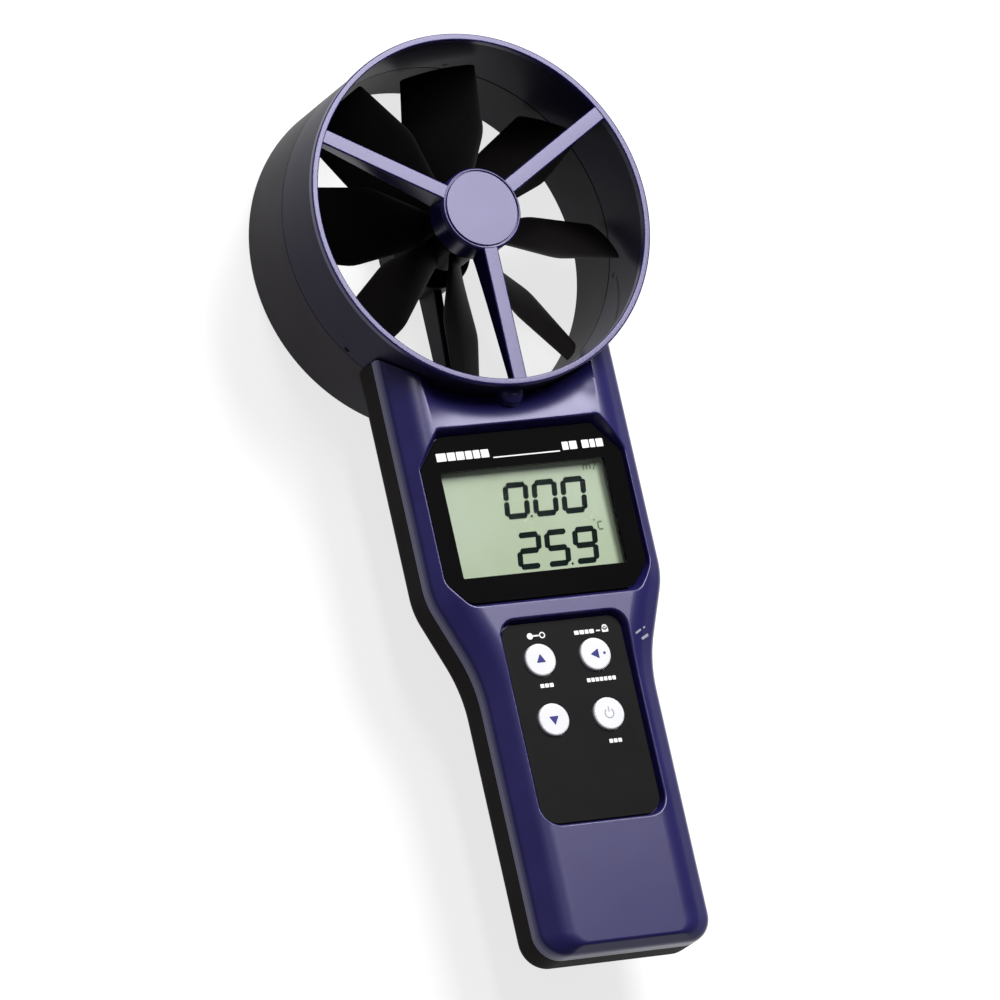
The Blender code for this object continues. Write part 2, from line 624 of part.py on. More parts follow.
def rear_cover():
    """The black rear cover with the battery bay, screw posts and the inner lip."""
    cover = shell_body("rear_cover", REAR_LEVELS, "black")
    cavity = shell_body("rear_cavity", REAR_CAVITY_LEVELS)
    posts = [cylinder(f"case_post_{n}", x, down(d), 4.2,
                      (CUT_LOW, TONGUE_Z[0] - GAP if n <= 2 else BOSS_END_Z - GAP), 20)
             for n, (x, d) in enumerate(CASE_SCREWS, start=1)]
    rib = block("bay_rib", (-60.0, 60.0), (down(163.5), down(162.1)), (CUT_LOW, 29.0))
    cut(cavity, *posts, rib)
    cut(cover, cavity,
        cylinder("rear_saddle", 0.0, RING_Y, SADDLE_R, (10.0, CUT_HIGH), RING_SEGMENTS),
        prism("bay_opening", rectangle(BAY_HALF_WIDTH, BAY[0], BAY[1], 1.5, 2), (CUT_LOW, 22.6)),
        prism("door_recess", rectangle(DOOR_HALF_WIDTH + GAP, DOOR[0] - GAP, DOOR[1] + GAP, 3.0, 3),
              (CUT_LOW, DOOR_Z[1] + GAP)))
    for n, (x, d) in enumerate(CASE_SCREWS, start=1):
        cut(cover, turned(f"case_screw_hole_{n}", [
            (0.0, CUT_LOW), (3.1, CUT_LOW), (3.1, 22.2), (SCREW_HOLE_R, 22.2), (SCREW_HOLE_R, 36.0),
            (0.0, 36.0)],
            (x, down(d), 0.0), 16))
    return cover


def battery_door():
    """The lift-off door over the battery bay, with finger grooves."""
    middle = (DOOR[0] + DOOR[1]) / 2.0
    origin = (0.0, down(middle), DOOR_Z[0])
    door = prism("battery_door", rectangle(DOOR_HALF_WIDTH, DOOR[0], DOOR[1], 2.7, 3), DOOR_Z,
                 "black", origin)
    grooves = [block(f"door_groove_{n}", (-8.0, 8.0), (down(172.0 + 2.0 * n), down(171.2 + 2.0 * n)),
                     (CUT_LOW, BACK_Z + 0.5)) for n in range(5)]
    cut(door, *grooves)
    return door


def keypad():
    """The keypad overlay, the rubber key mat and the four keys."""
    overlay = prism("keypad_overlay", rectangle(
        KEYPAD_HALF_WIDTH - OVERLAY_MARGIN, KEYPAD_TOP + OVERLAY_MARGIN,
        KEYPAD_BOTTOM - OVERLAY_MARGIN, KEYPAD_CORNER_R - OVERLAY_MARGIN), OVERLAY_Z, "black")
    cut(overlay, *[cylinder(f"{name}_window", x, down(d), KEY_R + GAP, (35.0, 39.0), KEY_SEGMENTS)
                   for name, (x, d) in KEYS.items()])
    mat = block("key_mat", (-14.5, 14.5), (down(155.2), down(125.6)), (BOARD_Z[1] + GAP, 30.3),
                "rubber")
    for name, (x, d) in KEYS.items():
        fuse(mat, turned(f"{name}_dome", [(0.0, 29.9), (4.2, 29.9), (2.8, 31.4), (0.0, 31.4)],
                         (x, down(d), 0.0), 16))
        turned(name, [
            (0.0, 32.6), (2.5, 32.6), (2.5, 33.3), (5.9, 33.3), (5.9, 34.2), (KEY_R, 34.2),
            (KEY_R, KEY_TOP_Z - 0.5), (KEY_R - 0.5, KEY_TOP_Z), (0.0, KEY_TOP_Z)],
            (x, down(d), 0.0), KEY_SEGMENTS, "white", (x, down(d), KEY_TOP_Z))


def display():
    """The window, the liquid crystal panel, its holder and its contact strip."""
    inset = DISPLAY_SLOPE * (FACE_Z - WINDOW_Z[1]) + WINDOW_MARGIN
    prism("display_window", display_outline(inset), WINDOW_Z, "window")
    half, top, bottom = LCD_GLASS
    prism("lcd_panel", rectangle(half, top, bottom, 0.5, 1), LCD_Z, "lcd")
    holder = prism("lcd_holder", rectangle(half + 2.0, top - 0.7, bottom + 2.0, 1.0, 2),
                   (BOARD_Z[1] + GAP, LCD_Z[1]), "white")
    cut(holder, prism("lcd_holder_opening", rectangle(half + GAP, top - GAP, bottom + GAP, 0.5, 1),
                      (20.0, 40.0)))
    block("contact_strip", (-27.0, 27.0), (down(109.2), down(106.8)), (BOARD_Z[1] + GAP, LCD_Z[0] - GAP),
          "rubber")


def electronics():
    """The main board and what is soldered to it."""
    right = [(x, down(d)) for x, d in BOARD_OUTLINE]
    board = prism("main_board", right + [(-x, y) for x, y in reversed(right)], BOARD_Z, "board")
    cut(board, *[cylinder(f"board_hole_{n}", x, down(d), 1.3, (20.0, 32.0), 12)
                 for n, (x, d) in enumerate(BOARD_SCREWS, start=1)])
    under = BOARD_Z[0] - GAP
    block("processor_chip", (-14.0, -2.0), (down(101.0), down(89.0)), (under - 1.6, under), "rubber")
    cylinder("buzzer", 11.0, down(125.0), 6.0, (under - 4.4, under), 20, "rubber")
    block("lead_socket", (-4.0, 4.0), (down(78.5), down(72.6)), (under - 3.4, under), "white")


def battery_bay():
    """Four cells side by side, and the spring contacts at both ends of the bay."""
    columns = [(k - 1.5) * CELL_PITCH for k in range(4)]
    top_y = down(CELL_TOP)
    low_y = down(CELL_TOP + CELL_LENGTH)
    for number, x in enumerate(columns, start=1):
        profile = [(0.0, 0.0), (CELL_R - 0.3, 0.0), (CELL_R, 0.4), (CELL_R, CELL_LENGTH - 1.5),
                   (CELL_R - 0.5, CELL_LENGTH - 1.0), (1.9, CELL_LENGTH - 1.0),
                   (1.9, CELL_LENGTH), (0.0, CELL_LENGTH)]
        flip = number % 2 == 0
        if flip:
            profile = [(r, CELL_LENGTH - s) for r, s in reversed(profile)]
        turned(f"battery_{number}", profile, (x, low_y, CELL_Z), 16, "cell", along='Y')
    upper = (("contact_upper_left", columns[:1]), ("contact_upper_middle", columns[1:3]),
             ("contact_upper_right", columns[3:]))
    lower = (("contact_lower_left", columns[:2]), ("contact_lower_right", columns[2:]))
    for name, xs in upper:
        contact(name, xs, top_y + 2.2, -1.0)
    for name, xs in lower:
        contact(name, xs, low_y - 2.2, 1.0)


def contact(name, xs, y, towards):
    """A spring plate: a thin strip with one stepped boss for each cell it touches."""
    plate_y = sorted((y, y + 0.5 * towards))
    plate = block(name, (xs[0] - 4.0, xs[-1] + 4.0), plate_y, (CELL_Z - 2.8, CELL_Z + 4.2), "steel")
    for number, x in enumerate(xs):
        reach = (0.2, 1.1, 1.9)
        profile = [(0.0, reach[0]), (3.0, reach[0]), (1.8, reach[1]), (1.5, reach[2]), (0.0, reach[2])]
        profile = [(r, s * towards) for r, s in profile]
        if towards < 0:
            profile.reverse()
        fuse(plate, turned(f"{name}_spring_{number}", profile, (x, y, CELL_Z), 8, along='Y'))


def screws():
    """Case screws from the back, and board screws."""
    for number, (x, d) in enumerate(CASE_SCREWS, start=1):
        turned(f"case_screw_{number}", [
            (0.0, 19.9), (2.2, 19.9), (2.7, 20.5), (2.7, 21.9), (1.2, 21.9), (1.2, 33.2), (0.6, 33.9),
            (0.0, 33.9)], (x, down(d), 0.0), 12, "steel")
    for number, (x, d) in enumerate(BOARD_SCREWS, start=1):
        turned(f"board_screw_{number}", [
            (0.0, 25.7), (1.7, 25.7), (2.1, 26.1), (2.1, 27.1), (0.9, 27.1), (0.9, 33.2), (0.0, 33.2)],
            (x, down(d), 0.0), 10, "steel")


def main():
    """Build every piece."""
    clear_scene()
    front_ring()
    rear_ring()
    hub_caps()
    impeller()
    vane_internals()
    sensor_lead()
    front_shell()
    rear_cover()
    battery_door()
    keypad()
    display()
    electronics()
    battery_bay()
    screws()


main()
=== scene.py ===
"""Looks of the handheld vane anemometer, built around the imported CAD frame.

Lengths are millimetres in the frame's own axes; meshes are made in metres. A "distance" is
measured from the vane axis towards the lower end of the handle.
"""
import math

import bmesh
import bpy
from mathutils import Matrix, Vector


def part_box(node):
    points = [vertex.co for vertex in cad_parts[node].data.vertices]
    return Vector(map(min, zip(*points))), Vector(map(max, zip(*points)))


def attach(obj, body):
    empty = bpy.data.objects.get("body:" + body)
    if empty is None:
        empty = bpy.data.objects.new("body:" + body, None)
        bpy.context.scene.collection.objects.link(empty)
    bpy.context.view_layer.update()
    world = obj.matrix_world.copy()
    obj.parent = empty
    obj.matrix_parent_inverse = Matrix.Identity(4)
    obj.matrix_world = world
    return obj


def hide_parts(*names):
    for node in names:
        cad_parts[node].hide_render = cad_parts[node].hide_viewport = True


MM = 0.001
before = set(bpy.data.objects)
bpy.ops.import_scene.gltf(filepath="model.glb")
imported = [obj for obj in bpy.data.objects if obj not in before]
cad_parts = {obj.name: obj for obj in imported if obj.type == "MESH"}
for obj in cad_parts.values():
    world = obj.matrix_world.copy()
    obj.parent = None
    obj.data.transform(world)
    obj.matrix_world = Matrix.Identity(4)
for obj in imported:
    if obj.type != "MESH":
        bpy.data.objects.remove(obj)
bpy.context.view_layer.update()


def corners(node):
    """Lowest and highest corner of a CAD node, in millimetres."""
    low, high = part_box(node)
    return low / MM, high / MM


# --- driving dimensions, taken from the frame ---
ROTOR_LOW, ROTOR_HIGH = corners("impeller")
_, RING_HIGH = corners("front_ring")
SHELL_LOW, SHELL_HIGH = corners("front_shell")
COVER_LOW, _ = corners("rear_cover")
_, CAP_HIGH = corners("front_hub_cap")
REAR_CAP_LOW, _ = corners("rear_hub_cap")
WINDOW_LOW, WINDOW_HIGH = corners("display_window")
_, LCD_HIGH = corners("lcd_panel")
FILM_LOW, FILM_HIGH = corners("keypad_overlay")
DOOR_LOW, DOOR_HIGH = corners("battery_door")
HEAD_HALF = SHELL_HIGH.x
FACE_Z = SHELL_HIGH.z
PARTING_Z = SHELL_LOW.z
BACK_Z = COVER_LOW.z
RIM_R = RING_HIGH.x
RIM_Z = RING_HIGH.z
HUB_R = CAP_HIGH.x
ROTOR_R = ROTOR_HIGH.x
BLADE_Z = (ROTOR_LOW.z + ROTOR_HIGH.z) / 2.0
RING_Y = (ROTOR_LOW.y + ROTOR_HIGH.y) / 2.0
HANDLE_END = RING_Y - SHELL_LOW.y

# --- vane ring ---
WALL_R = RIM_R - 0.4
BORE_R = RIM_R - 2.0
SEAM_Z = 24.5
SEAM_GAP = 0.06
LAP_R = 51.75          # the ring halves overlap inside and outside of this radius
LAP_Z = 23.1
LIP_Z = 44.7
STRUT_ANGLES = (30.0, 150.0, 270.0)
STRUT_HALF = 2.33
STRUT_TOP = RIM_Z - 0.2
STRUT_DEPTHS = (10.0, 4.6)
REAR_STRUT_HEIGHTS = (9.6, 4.8)
STRUT_EASE = 0.85
STRUT_STATIONS = 14
CUP_R = 10.5
AXLE_ROOM_R = 3.3
SNAP_HOLES = (-142.4, 79.3, -20.0)
SNAP_HOLE_R = 0.9
SNAP_Z = SEAM_Z + 1.9
NUB = 53.0
NUB_R = 3.9
NUB_Z = (35.6, 41.6)
MARKS = 11
MARK_ANGLES = (-22.0, -42.0)
MARK_HEIGHTS = (29.0, 40.5)
TURNS = 192

# (distance below the vane axis, height) along the pickup's lead
LEAD_ROUTE = ((9.0, 40.4), (13.0, 40.4), (20.0, 40.7), (34.0, 41.2), (46.0, 41.2), (51.0, 40.6),
              (53.6, 39.4), (55.0, 36.6), (55.8, 33.2), (58.0, 31.8), (64.0, 31.2), (67.6, 30.4),
              (69.0, 28.6), (69.2, 26.6), (70.4, 25.4), (72.2, 25.2))

# --- impeller ---
BLADES = 8
BLADE_PHASE = -8.0
BLADE_STATIONS = ((8.0, 3.3, 4.5), (14.0, 4.8, 5.8), (30.0, 9.2, 8.2), (ROTOR_R, 8.0, 8.5))
BLADE_THICKNESS = 1.0
BLADE_CAMBER = 0.5
BLADE_CORNER = 0.7
BLADE_LOOPS = 30
BLADE_SIDE_POINTS = 12
ROTOR_HUB_R = 9.4

# --- handle ---
GRIP_HALF = 27.5
HANDLE_START = 30.0
SHOULDER = 110.0
WAIST = 134.8
SHOULDER_R = 23.0
WAIST_R = 45.0
END_CORNER_R = 8.0
SADDLE_R = 53.3
SADDLE_HALF = 28.4
SADDLE_FLAT = 19.5
SADDLE_FADE = 8.0
SADDLE_DEPTH = 3.5
SADDLE_POWER = 2.1
SADDLE_OVERLAP = 3.0   # the saddle runs out this far below the display's upper edge
SADDLE_GRID = (24, 64)
FAR = 60.0             # cutters reach this far out of the handle
CAVITY_LEVELS = ((2.0, 2.0, PARTING_Z - 2.0), (2.0, 2.0, 33.2), (3.9, 3.2, 34.5),
                 (5.6, 3.8, 35.4), (9.2, 5.2, 37.4))
COVER_CAVITY_LEVELS = ((4.4, 21.1), (2.6, 22.6), (2.3, 29.2), (3.4, 30.0), (3.4, 33.2))
TONGUE_INSET = 2.3
TONGUE_TOP_Z = 32.1
DISPLAY_LEDGE_Z = 33.5
KEYPAD_LEDGE_Z = 34.7
SHELL_GAP = 0.3

# --- display and keypad ---
DISPLAY_TOP = 61.5
DISPLAY_BOTTOM = 114.7
DISPLAY_HALF = 34.0
DISPLAY_TOP_CHAMFER = (8.2, 10.0)
DISPLAY_BOTTOM_CHAMFER = (7.0, 7.6)
DISPLAY_FLOOR_Z = 34.7
DISPLAY_SLOPE = 1.2 / 3.2
LCD_VIEW = (26.3, 73.8, 105.4)
KEYPAD_TOP = 119.3
KEYPAD_BOTTOM = 180.6
KEYPAD_HALF = 20.3
KEYPAD_TOP_R = 5.0
KEYPAD_BOTTOM_R = 6.5
KEYPAD_FLOOR_Z = 36.1
KEYPAD_SLOPE = 0.3
ROLL_ANGLE = 75.0
ROLL_PITCH = 1.0
KEY_X = 8.83
KEY_ROWS = (131.6, 149.3)
KEY_R = 4.8
KEYS = {"button_up": (-KEY_X, KEY_ROWS[0]), "button_left": (KEY_X, KEY_ROWS[0]),
        "button_down": (-KEY_X, KEY_ROWS[1]), "button_power": (KEY_X, KEY_ROWS[1])}
KEY_TOP_Z = 37.9
KEY_FOOT_Z = 32.6
KEY_STEM_R = 2.5
KEY_FLANGE_R = 5.9
KEY_FLANGE_Z = (33.3, 34.2)
INK = 0.05
SYMBOL_Z = (KEY_TOP_Z - INK, KEY_TOP_Z + INK / 2)
CHEEK_BARS = (((22.2, 127.2), (24.4, 126.1), 0.6), ((24.2, 128.8), (27.2, 127.4), 0.75),
              ((25.4, 125.7), (26.3, 125.2), 0.5))

# --- back ---
BAY_HALF = 21.9
BAY = (165.8, 213.8)
BAY_RIB = (162.1, 163.5)
GROOVES = 6
GROOVE_START = 171.2
GROOVE_PITCH = 1.9
GROOVE_WIDTH = 1.0
GROOVE_HALF = 9.0
CASE_SCREWS = ((-30.5, 64.0), (30.5, 64.0), (-20.8, 159.2), (20.8, 159.2))
CASE_BOSS_Z = 29.0
SCREW_Z = (19.9, 21.9, 33.9)
SCREW_HEAD_R = 2.7
SCREW_R = 1.2
BOARD_SCREWS = ((-25.0, 118.0), (25.0, 118.0), (-19.0, 151.0), (19.0, 151.0))
BOARD_BOSS_Z = 29.3
POST_TOPS = (22.7, 22.7, 28.7, 28.7)
BELOW = 15.0           # cutters that open the back start here


# --- small helpers ---
def down(distance):
    """The Y of a point that lies a distance below the vane axis."""
    return RING_Y - distance


def unit(x, y):
    """The direction of a plane vector."""
    length = math.hypot(x, y)
    return (x / length, y / length)


def lerp(a, b, t):
    """The value between a and b at share t."""
    return a + (b - a) * t


def smoothstep(low, high, value):
    """0 below low, 1 above high, smooth between."""
    t = max(0.0, min(1.0, (value - low) / (high - low)))
    return t * t * (3.0 - 2.0 * t)


def interpolate(table, x):
    """Piecewise linear look-up in (x, y) pairs with rising x."""
    for (x0, y0), (x1, y1) in zip(table, table[1:]):
        if x <= x1:
            return lerp(y0, y1, max(0.0, (x - x0) / (x1 - x0))) if x1 > x0 else y1
    return table[-1][1]


# --- outlines ---
SQUARE = ((-1, -1), (1, -1), (1, 1), (-1, 1))


def arc(x, y, radius, angles):
    """Points round a centre at the given angles."""
    return [(x + radius * math.cos(a), y + radius * math.sin(a)) for a in angles]


def rounded(points, radii, steps, closed=True):
    """A polygon whose corners are replaced with arcs of the given radii and step counts."""
    outline = []
    count = len(points)
    for index, (corner, radius, step) in enumerate(zip(points, radii, steps)):
        if step == 0 or (not closed and index in (0, count - 1)):
            outline.append(corner)
            continue
        to_before, to_after = [unit(other[0] - corner[0], other[1] - corner[1])
                               for other in (points[index - 1], points[(index + 1) % count])]
        cosine = to_before[0] * to_after[0] + to_before[1] * to_after[1]
        half = math.acos(max(-1.0, min(1.0, cosine))) / 2.0
        reach = radius / math.tan(half)
        bisector = unit(to_before[0] + to_after[0], to_before[1] + to_after[1])
        centre = [c + b * radius / math.sin(half) for c, b in zip(corner, bisector)]
        first, last = [math.atan2(corner[1] + side[1] * reach - centre[1],
                                  corner[0] + side[0] * reach - centre[0])
                       for side in (to_before, to_after)]
        turn = (last - first + math.pi) % (2.0 * math.pi) - math.pi
        outline += arc(*centre, radius, [first + turn * k / step for k in range(step + 1)])
    return outline


def mirrored(right, radii, steps):
    """A rounded outline from its right half, listed from the top down."""
    points = list(right) + [(-x, y) for x, y in reversed(right)]
    return rounded(points, tuple(radii) + tuple(radii)[::-1], tuple(steps) + tuple(steps)[::-1])


def handle_outline(side, end):
    """The handle's plan outline, inset at its sides and at its lower end."""
    narrowing = math.atan2(HEAD_HALF - GRIP_HALF, WAIST - SHOULDER)
    rise = side * math.tan(narrowing / 2.0)
    right = [(HEAD_HALF - side, down(HANDLE_START)), (HEAD_HALF - side, down(SHOULDER) + rise),
             (GRIP_HALF - side, down(WAIST) + rise), (GRIP_HALF - side, down(HANDLE_END) + end)]
    radii = (0, SHOULDER_R - side, WAIST_R + side, max(END_CORNER_R - 0.5 * side, 3.0))
    return mirrored(right, radii, (0, 10, 12, 12))


def display_outline(inset):
    """The eight-sided outline of the display recess."""
    half = DISPLAY_HALF - inset
    top = down(DISPLAY_TOP + inset)
    bottom = down(DISPLAY_BOTTOM - inset)
    ease = 0.45 * inset
    right = [(half - DISPLAY_TOP_CHAMFER[0] + ease, top),
             (half, top - DISPLAY_TOP_CHAMFER[1] + ease),
             (half, bottom + DISPLAY_BOTTOM_CHAMFER[1] - ease),
             (half - DISPLAY_BOTTOM_CHAMFER[0] + ease, bottom)]
    return mirrored(right, (2.0, 2.5, 5.0, 5.0), (5, 5, 8, 8))


def keypad_outline(inset):
    """The keypad recess, whose lower corners are the rounder ones."""
    right = [(KEYPAD_HALF - inset, down(KEYPAD_TOP + inset)),
             (KEYPAD_HALF - inset, down(KEYPAD_BOTTOM - inset))]
    return mirrored(right, (KEYPAD_TOP_R - inset, KEYPAD_BOTTOM_R - inset), (8, 10))


def rectangle(half_width, top, bottom, radius, steps=8):
    """A rectangle with round corners, centred on the handle."""
    right = [(half_width, down(top)), (half_width, down(bottom))]
    return mirrored(right, (radius, radius), (steps, steps))


def circle(x, y, radius, segments):
    """Points on a circle."""
    turn = 2.0 * math.pi / segments
    return arc(x, y, radius, [k * turn for k in range(segments)])


# --- meshes ---
def placed(name, data):
    """A new object in the scene."""
    obj = bpy.data.objects.new(name, data)
    bpy.context.scene.collection.objects.link(obj)
    return obj


def solid(name, points, faces):
    """An object from millimetre points."""
    mesh = bpy.data.meshes.new(name)
    mesh.from_pydata([(x * MM, y * MM, z * MM) for x, y, z in points], [], faces)
    bm = bmesh.new()
    bm.from_mesh(mesh)
    bmesh.ops.recalc_face_normals(bm, faces=bm.faces)
    bm.to_mesh(mesh)
    bm.free()
    return placed(name, mesh)


def band(low, high, count):
    """The faces between two loops, which start at the points low and high."""
    ends = [(k, (k + 1) % count) for k in range(count)]
    return [(low + k, low + n, high + n, high + k) for k, n in ends]


def skin(name, loops):
    """A closed body through loops of equal length."""
    count = len(loops[0])
    points = [point for loop in loops for point in loop]
    faces = [tuple(range(count))]
    for row in range(len(loops) - 1):
        faces += band(row * count, (row + 1) * count, count)
    faces.append(tuple(range(len(points) - count, len(points))))
    return solid(name, points, faces)


def loft(name, levels):
    """A closed body through plan outlines: levels are (outline, z)."""
    return skin(name, [[(x, y, z) for x, y in outline] for outline, z in levels])


def prism(name, outline, low, high):
    """An outline raised from low to high."""
    return loft(name, ((outline, low), (outline, high)))


def disc(name, x, distance, radius, low, high, segments=32):
    """An upright round body at a place on the handle."""
    return prism(name, circle(x, down(distance), radius, segments), low, high)


def block(name, x, y, z):
    """A box from its limits along each axis."""
    return prism(name, [(x[0], y[0]), (x[1], y[0]), (x[1], y[1]), (x[0], y[1])], *z)


def lathe(name, profile, x=0.0, y=None, segments=TURNS):
    """A body turned about an upright axis; profile is (radius, z) pairs, a ring unless it starts
    and ends at radius 0."""
    y = RING_Y if y is None else y
    pointed = profile[0][0] == 0.0 and profile[-1][0] == 0.0
    rows = profile[1:-1] if pointed else profile
    points = [(px, py, z) for radius, z in rows for px, py in circle(x, y, radius, segments)]
    faces = []
    for row in range(len(rows) - 1 if pointed else len(rows)):
        faces += band(row * segments, (row + 1) % len(rows) * segments, segments)
    if pointed:
        faces.append(tuple(range(segments)))
        faces.append(tuple(range(len(points) - segments, len(points))))
    return solid(name, points, faces)


def polar(angle, radius, offset, z):
    """A point at a radius from the vane axis, offset sideways from that radius line."""
    a = math.radians(angle)
    return (radius * math.cos(a) - offset * math.sin(a),
            RING_Y + radius * math.sin(a) + offset * math.cos(a), z)


def rod(name, angle, start, end, radius, height, segments=24):
    """A round rod along a radius of the ring."""
    loops = [[polar(angle, reach, offset, z) for offset, z in circle(0.0, height, radius, segments)]
             for reach in (start, end)]
    return skin(name, loops)


def modify(obj, kind, **settings):
    """Add a modifier with the given settings."""
    modifier = obj.modifiers.new(kind, kind)
    for key, value in settings.items():
        setattr(modifier, key, value)


def bake(obj):
    """Apply the modifiers of an object."""
    graph = bpy.context.evaluated_depsgraph_get()
    mesh = bpy.data.meshes.new_from_object(obj.evaluated_get(graph))
    obj.modifiers.clear()
    obj.data = mesh
    return obj


def cut(obj, *cutters):
    """Take the cutters away from the object with exact Booleans, then remove them."""
    for cutter in cutters:
        modify(obj, 'BOOLEAN', object=cutter, operation='DIFFERENCE', solver='EXACT')
    bake(obj)
    for cutter in cutters:
        bpy.data.objects.remove(cutter, do_unlink=True)
    return obj


def weld(obj, distance=0.01, flat=0.0):
    """Merge points that lie closer than a distance, and faces that meet flatter than an angle."""
    bm = bmesh.new()
    bm.from_mesh(obj.data)
    bmesh.ops.remove_doubles(bm, verts=bm.verts, dist=distance * MM)
    if flat:
        bmesh.ops.dissolve_limit(bm, angle_limit=math.radians(flat), verts=bm.verts,
                                 edges=bm.edges)
    bm.to_mesh(obj.data)
    bm.free()


def soften(obj, width, segments=2, angle=32.0):
    """Round the sharp edges of an object."""
    weld(obj, 0.002, 0.3)
    modify(obj, 'BEVEL', width=width * MM, segments=segments, limit_method='ANGLE',
           angle_limit=math.radians(angle), miter_outer='MITER_ARC', use_clamp_overlap=True)
    return bake(obj)


def surface(obj, x, y):
    """The height of an object's upper surface at a place."""
    found, hit, _, _ = obj.ray_cast(Vector((x, y, 80.0)) * MM, Vector((0.0, 0.0, -1.0)))
    return hit.z / MM if found else BACK_Z


def rolled_recess(name, obj, outline, floor, slope, radius=0.7, steps=5):
    """A cutter whose leaning wall rolls over into the object's upper surface.

    outline(inset) lists the recess's outline; the wall is at inset 0 where it reaches FACE_Z.
    """
    edges = zip(outline(0.0), outline(0.0)[1:] + outline(0.0)[:1])
    counts = [max(1, round(math.dist(start, end) / ROLL_PITCH)) for start, end in edges]

    def ring(inset):
        points = outline(inset)
        return [(lerp(x0, x1, k / count), lerp(y0, y1, k / count))
                for (x0, y0), (x1, y1), count in zip(points, points[1:] + points[:1], counts)
                for k in range(count)]

    rows = []
    for index, (x, y) in enumerate(ring(0.0)):
        foot = surface(obj, x, y) - radius
        wall = slope * (FACE_Z - foot)
        x, y = ring(slope * (FACE_Z - floor))[index]
        row = [(x, y, floor)]
        for step in range(steps + 1):
            angle = math.radians(ROLL_ANGLE) * step / steps
            x, y = ring(wall - radius * (1.0 - math.cos(angle)))[index]
            row.append((x, y, surface(obj, x, y) - radius * (1.0 - math.sin(angle))))
        reach = wall - radius * (1.0 - math.cos(math.radians(ROLL_ANGLE))) - 0.5
        x, y = ring(reach)[index]
        row += [(x, y, surface(obj, x, y) + 0.1), (x, y, FACE_Z + 4.0)]
        rows.append(row)
    return skin(name, list(zip(*rows)))


def joined(name, objects):
    """One object from several."""
    bm = bmesh.new()
    for obj in objects:
        bm.from_mesh(obj.data)
    mesh = bpy.data.meshes.new(name)
    bm.to_mesh(mesh)
    bm.free()
    for obj in objects:
        bpy.data.objects.remove(obj, do_unlink=True)
    return placed(name, mesh)


def piece(obj, look, body="root", replaces=(), angle=30.0):
    """Give an object its look, a key of MATERIALS, and its place in the frame."""
    obj.data.materials.clear()
    obj.data.materials.append(MATERIALS[look])
    obj.data.shade_smooth()
    obj.data.set_sharp_from_angle(angle=math.radians(angle))
    modify(obj, 'WEIGHTED_NORMAL', weight=50, keep_sharp=True)
    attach(obj, body)
    if replaces:
        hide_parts(*replaces)
    return obj


# --- materials ---
class Shader:
    """A small builder of node materials in object coordinates, which are metres."""

    def __init__(self, name):
        self.material = bpy.data.materials.new(name)
        self.material.use_nodes = True
        self.tree = self.material.node_tree
        self.surface = self.tree.nodes["Principled BSDF"]
        self.place = self.node("ShaderNodeTexCoord")

    def node(self, kind, **values):
        """A new node with the named inputs set."""
        made = self.tree.nodes.new(kind)
        for key, value in values.items():
            made.inputs[key.replace("_", " ")].default_value = value
        return made

    def link(self, source, target):
        """Join an output to an input."""
        self.tree.links.new(source, target)

    def noise(self, size, detail=3.0, roughness=0.55):
        """Noise whose features measure about size millimetres."""
        texture = self.node("ShaderNodeTexNoise", Scale=1.0 / (size * MM), Detail=detail,
                            Roughness=roughness)
        self.link(self.place.outputs["Object"], texture.inputs["Vector"])
        return texture.outputs["Fac"]

    def remap(self, value, low, high, in_low=0.0, in_high=1.0):
        """Map a value range to another."""
        made = self.node("ShaderNodeMapRange", From_Min=in_low, From_Max=in_high, To_Min=low,
                         To_Max=high)
        self.link(value, made.inputs["Value"])
        return made.outputs["Result"]

    def mix(self, share, a, b):
        """A colour between a and b."""
        made = self.tree.nodes.new("ShaderNodeMix")
        made.data_type = 'RGBA'
        made.inputs["A"].default_value = (*a, 1.0)
        made.inputs["B"].default_value = (*b, 1.0)
        self.link(share, made.inputs["Factor"])
        return made.outputs["Result"]

    def bump(self, *layers):
        """Stack bumps: each layer is (height output, depth in millimetres)."""
        normal = None
        for height, depth in layers:
            made = self.node("ShaderNodeBump", Strength=1.0, Distance=depth * MM)
            self.link(height, made.inputs["Height"])
            if normal is not None:
                self.link(normal, made.inputs["Normal"])
            normal = made.outputs["Normal"]
        self.link(normal, self.surface.inputs["Normal"])

    def drive(self, **outputs):
        """Link outputs to the named inputs of the surface."""
        for key, output in outputs.items():
            self.link(output, self.surface.inputs[key.replace("_", " ")])

    def set(self, **values):
        """Set the named inputs of the surface."""
        for key, value in values.items():
            self.surface.inputs[key.replace("_", " ")].default_value = value


def moulded(name, dark, light, rough=(0.36, 0.46), grain=0.35, depth=0.006, specular=0.5,
            mottle=9.0, tint=(1.0, 1.0, 1.0)):
    """Moulded plastic: slow mottling, a fine grain, and roughness that varies slowly."""
    shader = Shader(name)
    slow = shader.noise(mottle, 4.0)
    fine = shader.noise(grain, 2.0, 0.6)
    wide = shader.noise(mottle * 3.2, 2.0)
    shader.drive(Base_Color=shader.mix(shader.remap(slow, 0.0, 1.0, 0.3, 0.7), dark, light),
                 Roughness=shader.remap(wide, *rough, 0.2, 0.8))
    shader.bump((wide, depth * 2.0), (fine, depth))
    shader.set(Specular_IOR_Level=specular, Specular_Tint=(*tint, 1.0))
    return shader.material


def metal(name, colour, rough):
    """Plated or turned metal with a fine unevenness."""
    shader = Shader(name)
    brush = shader.noise(0.4, 3.0, 0.6)
    shader.drive(Base_Color=shader.mix(brush, tuple(c * 0.8 for c in colour), colour),
                 Roughness=shader.remap(brush, rough * 0.8, rough * 1.25))
    shader.bump((brush, 0.004))
    shader.set(Metallic=1.0)
    return shader.material


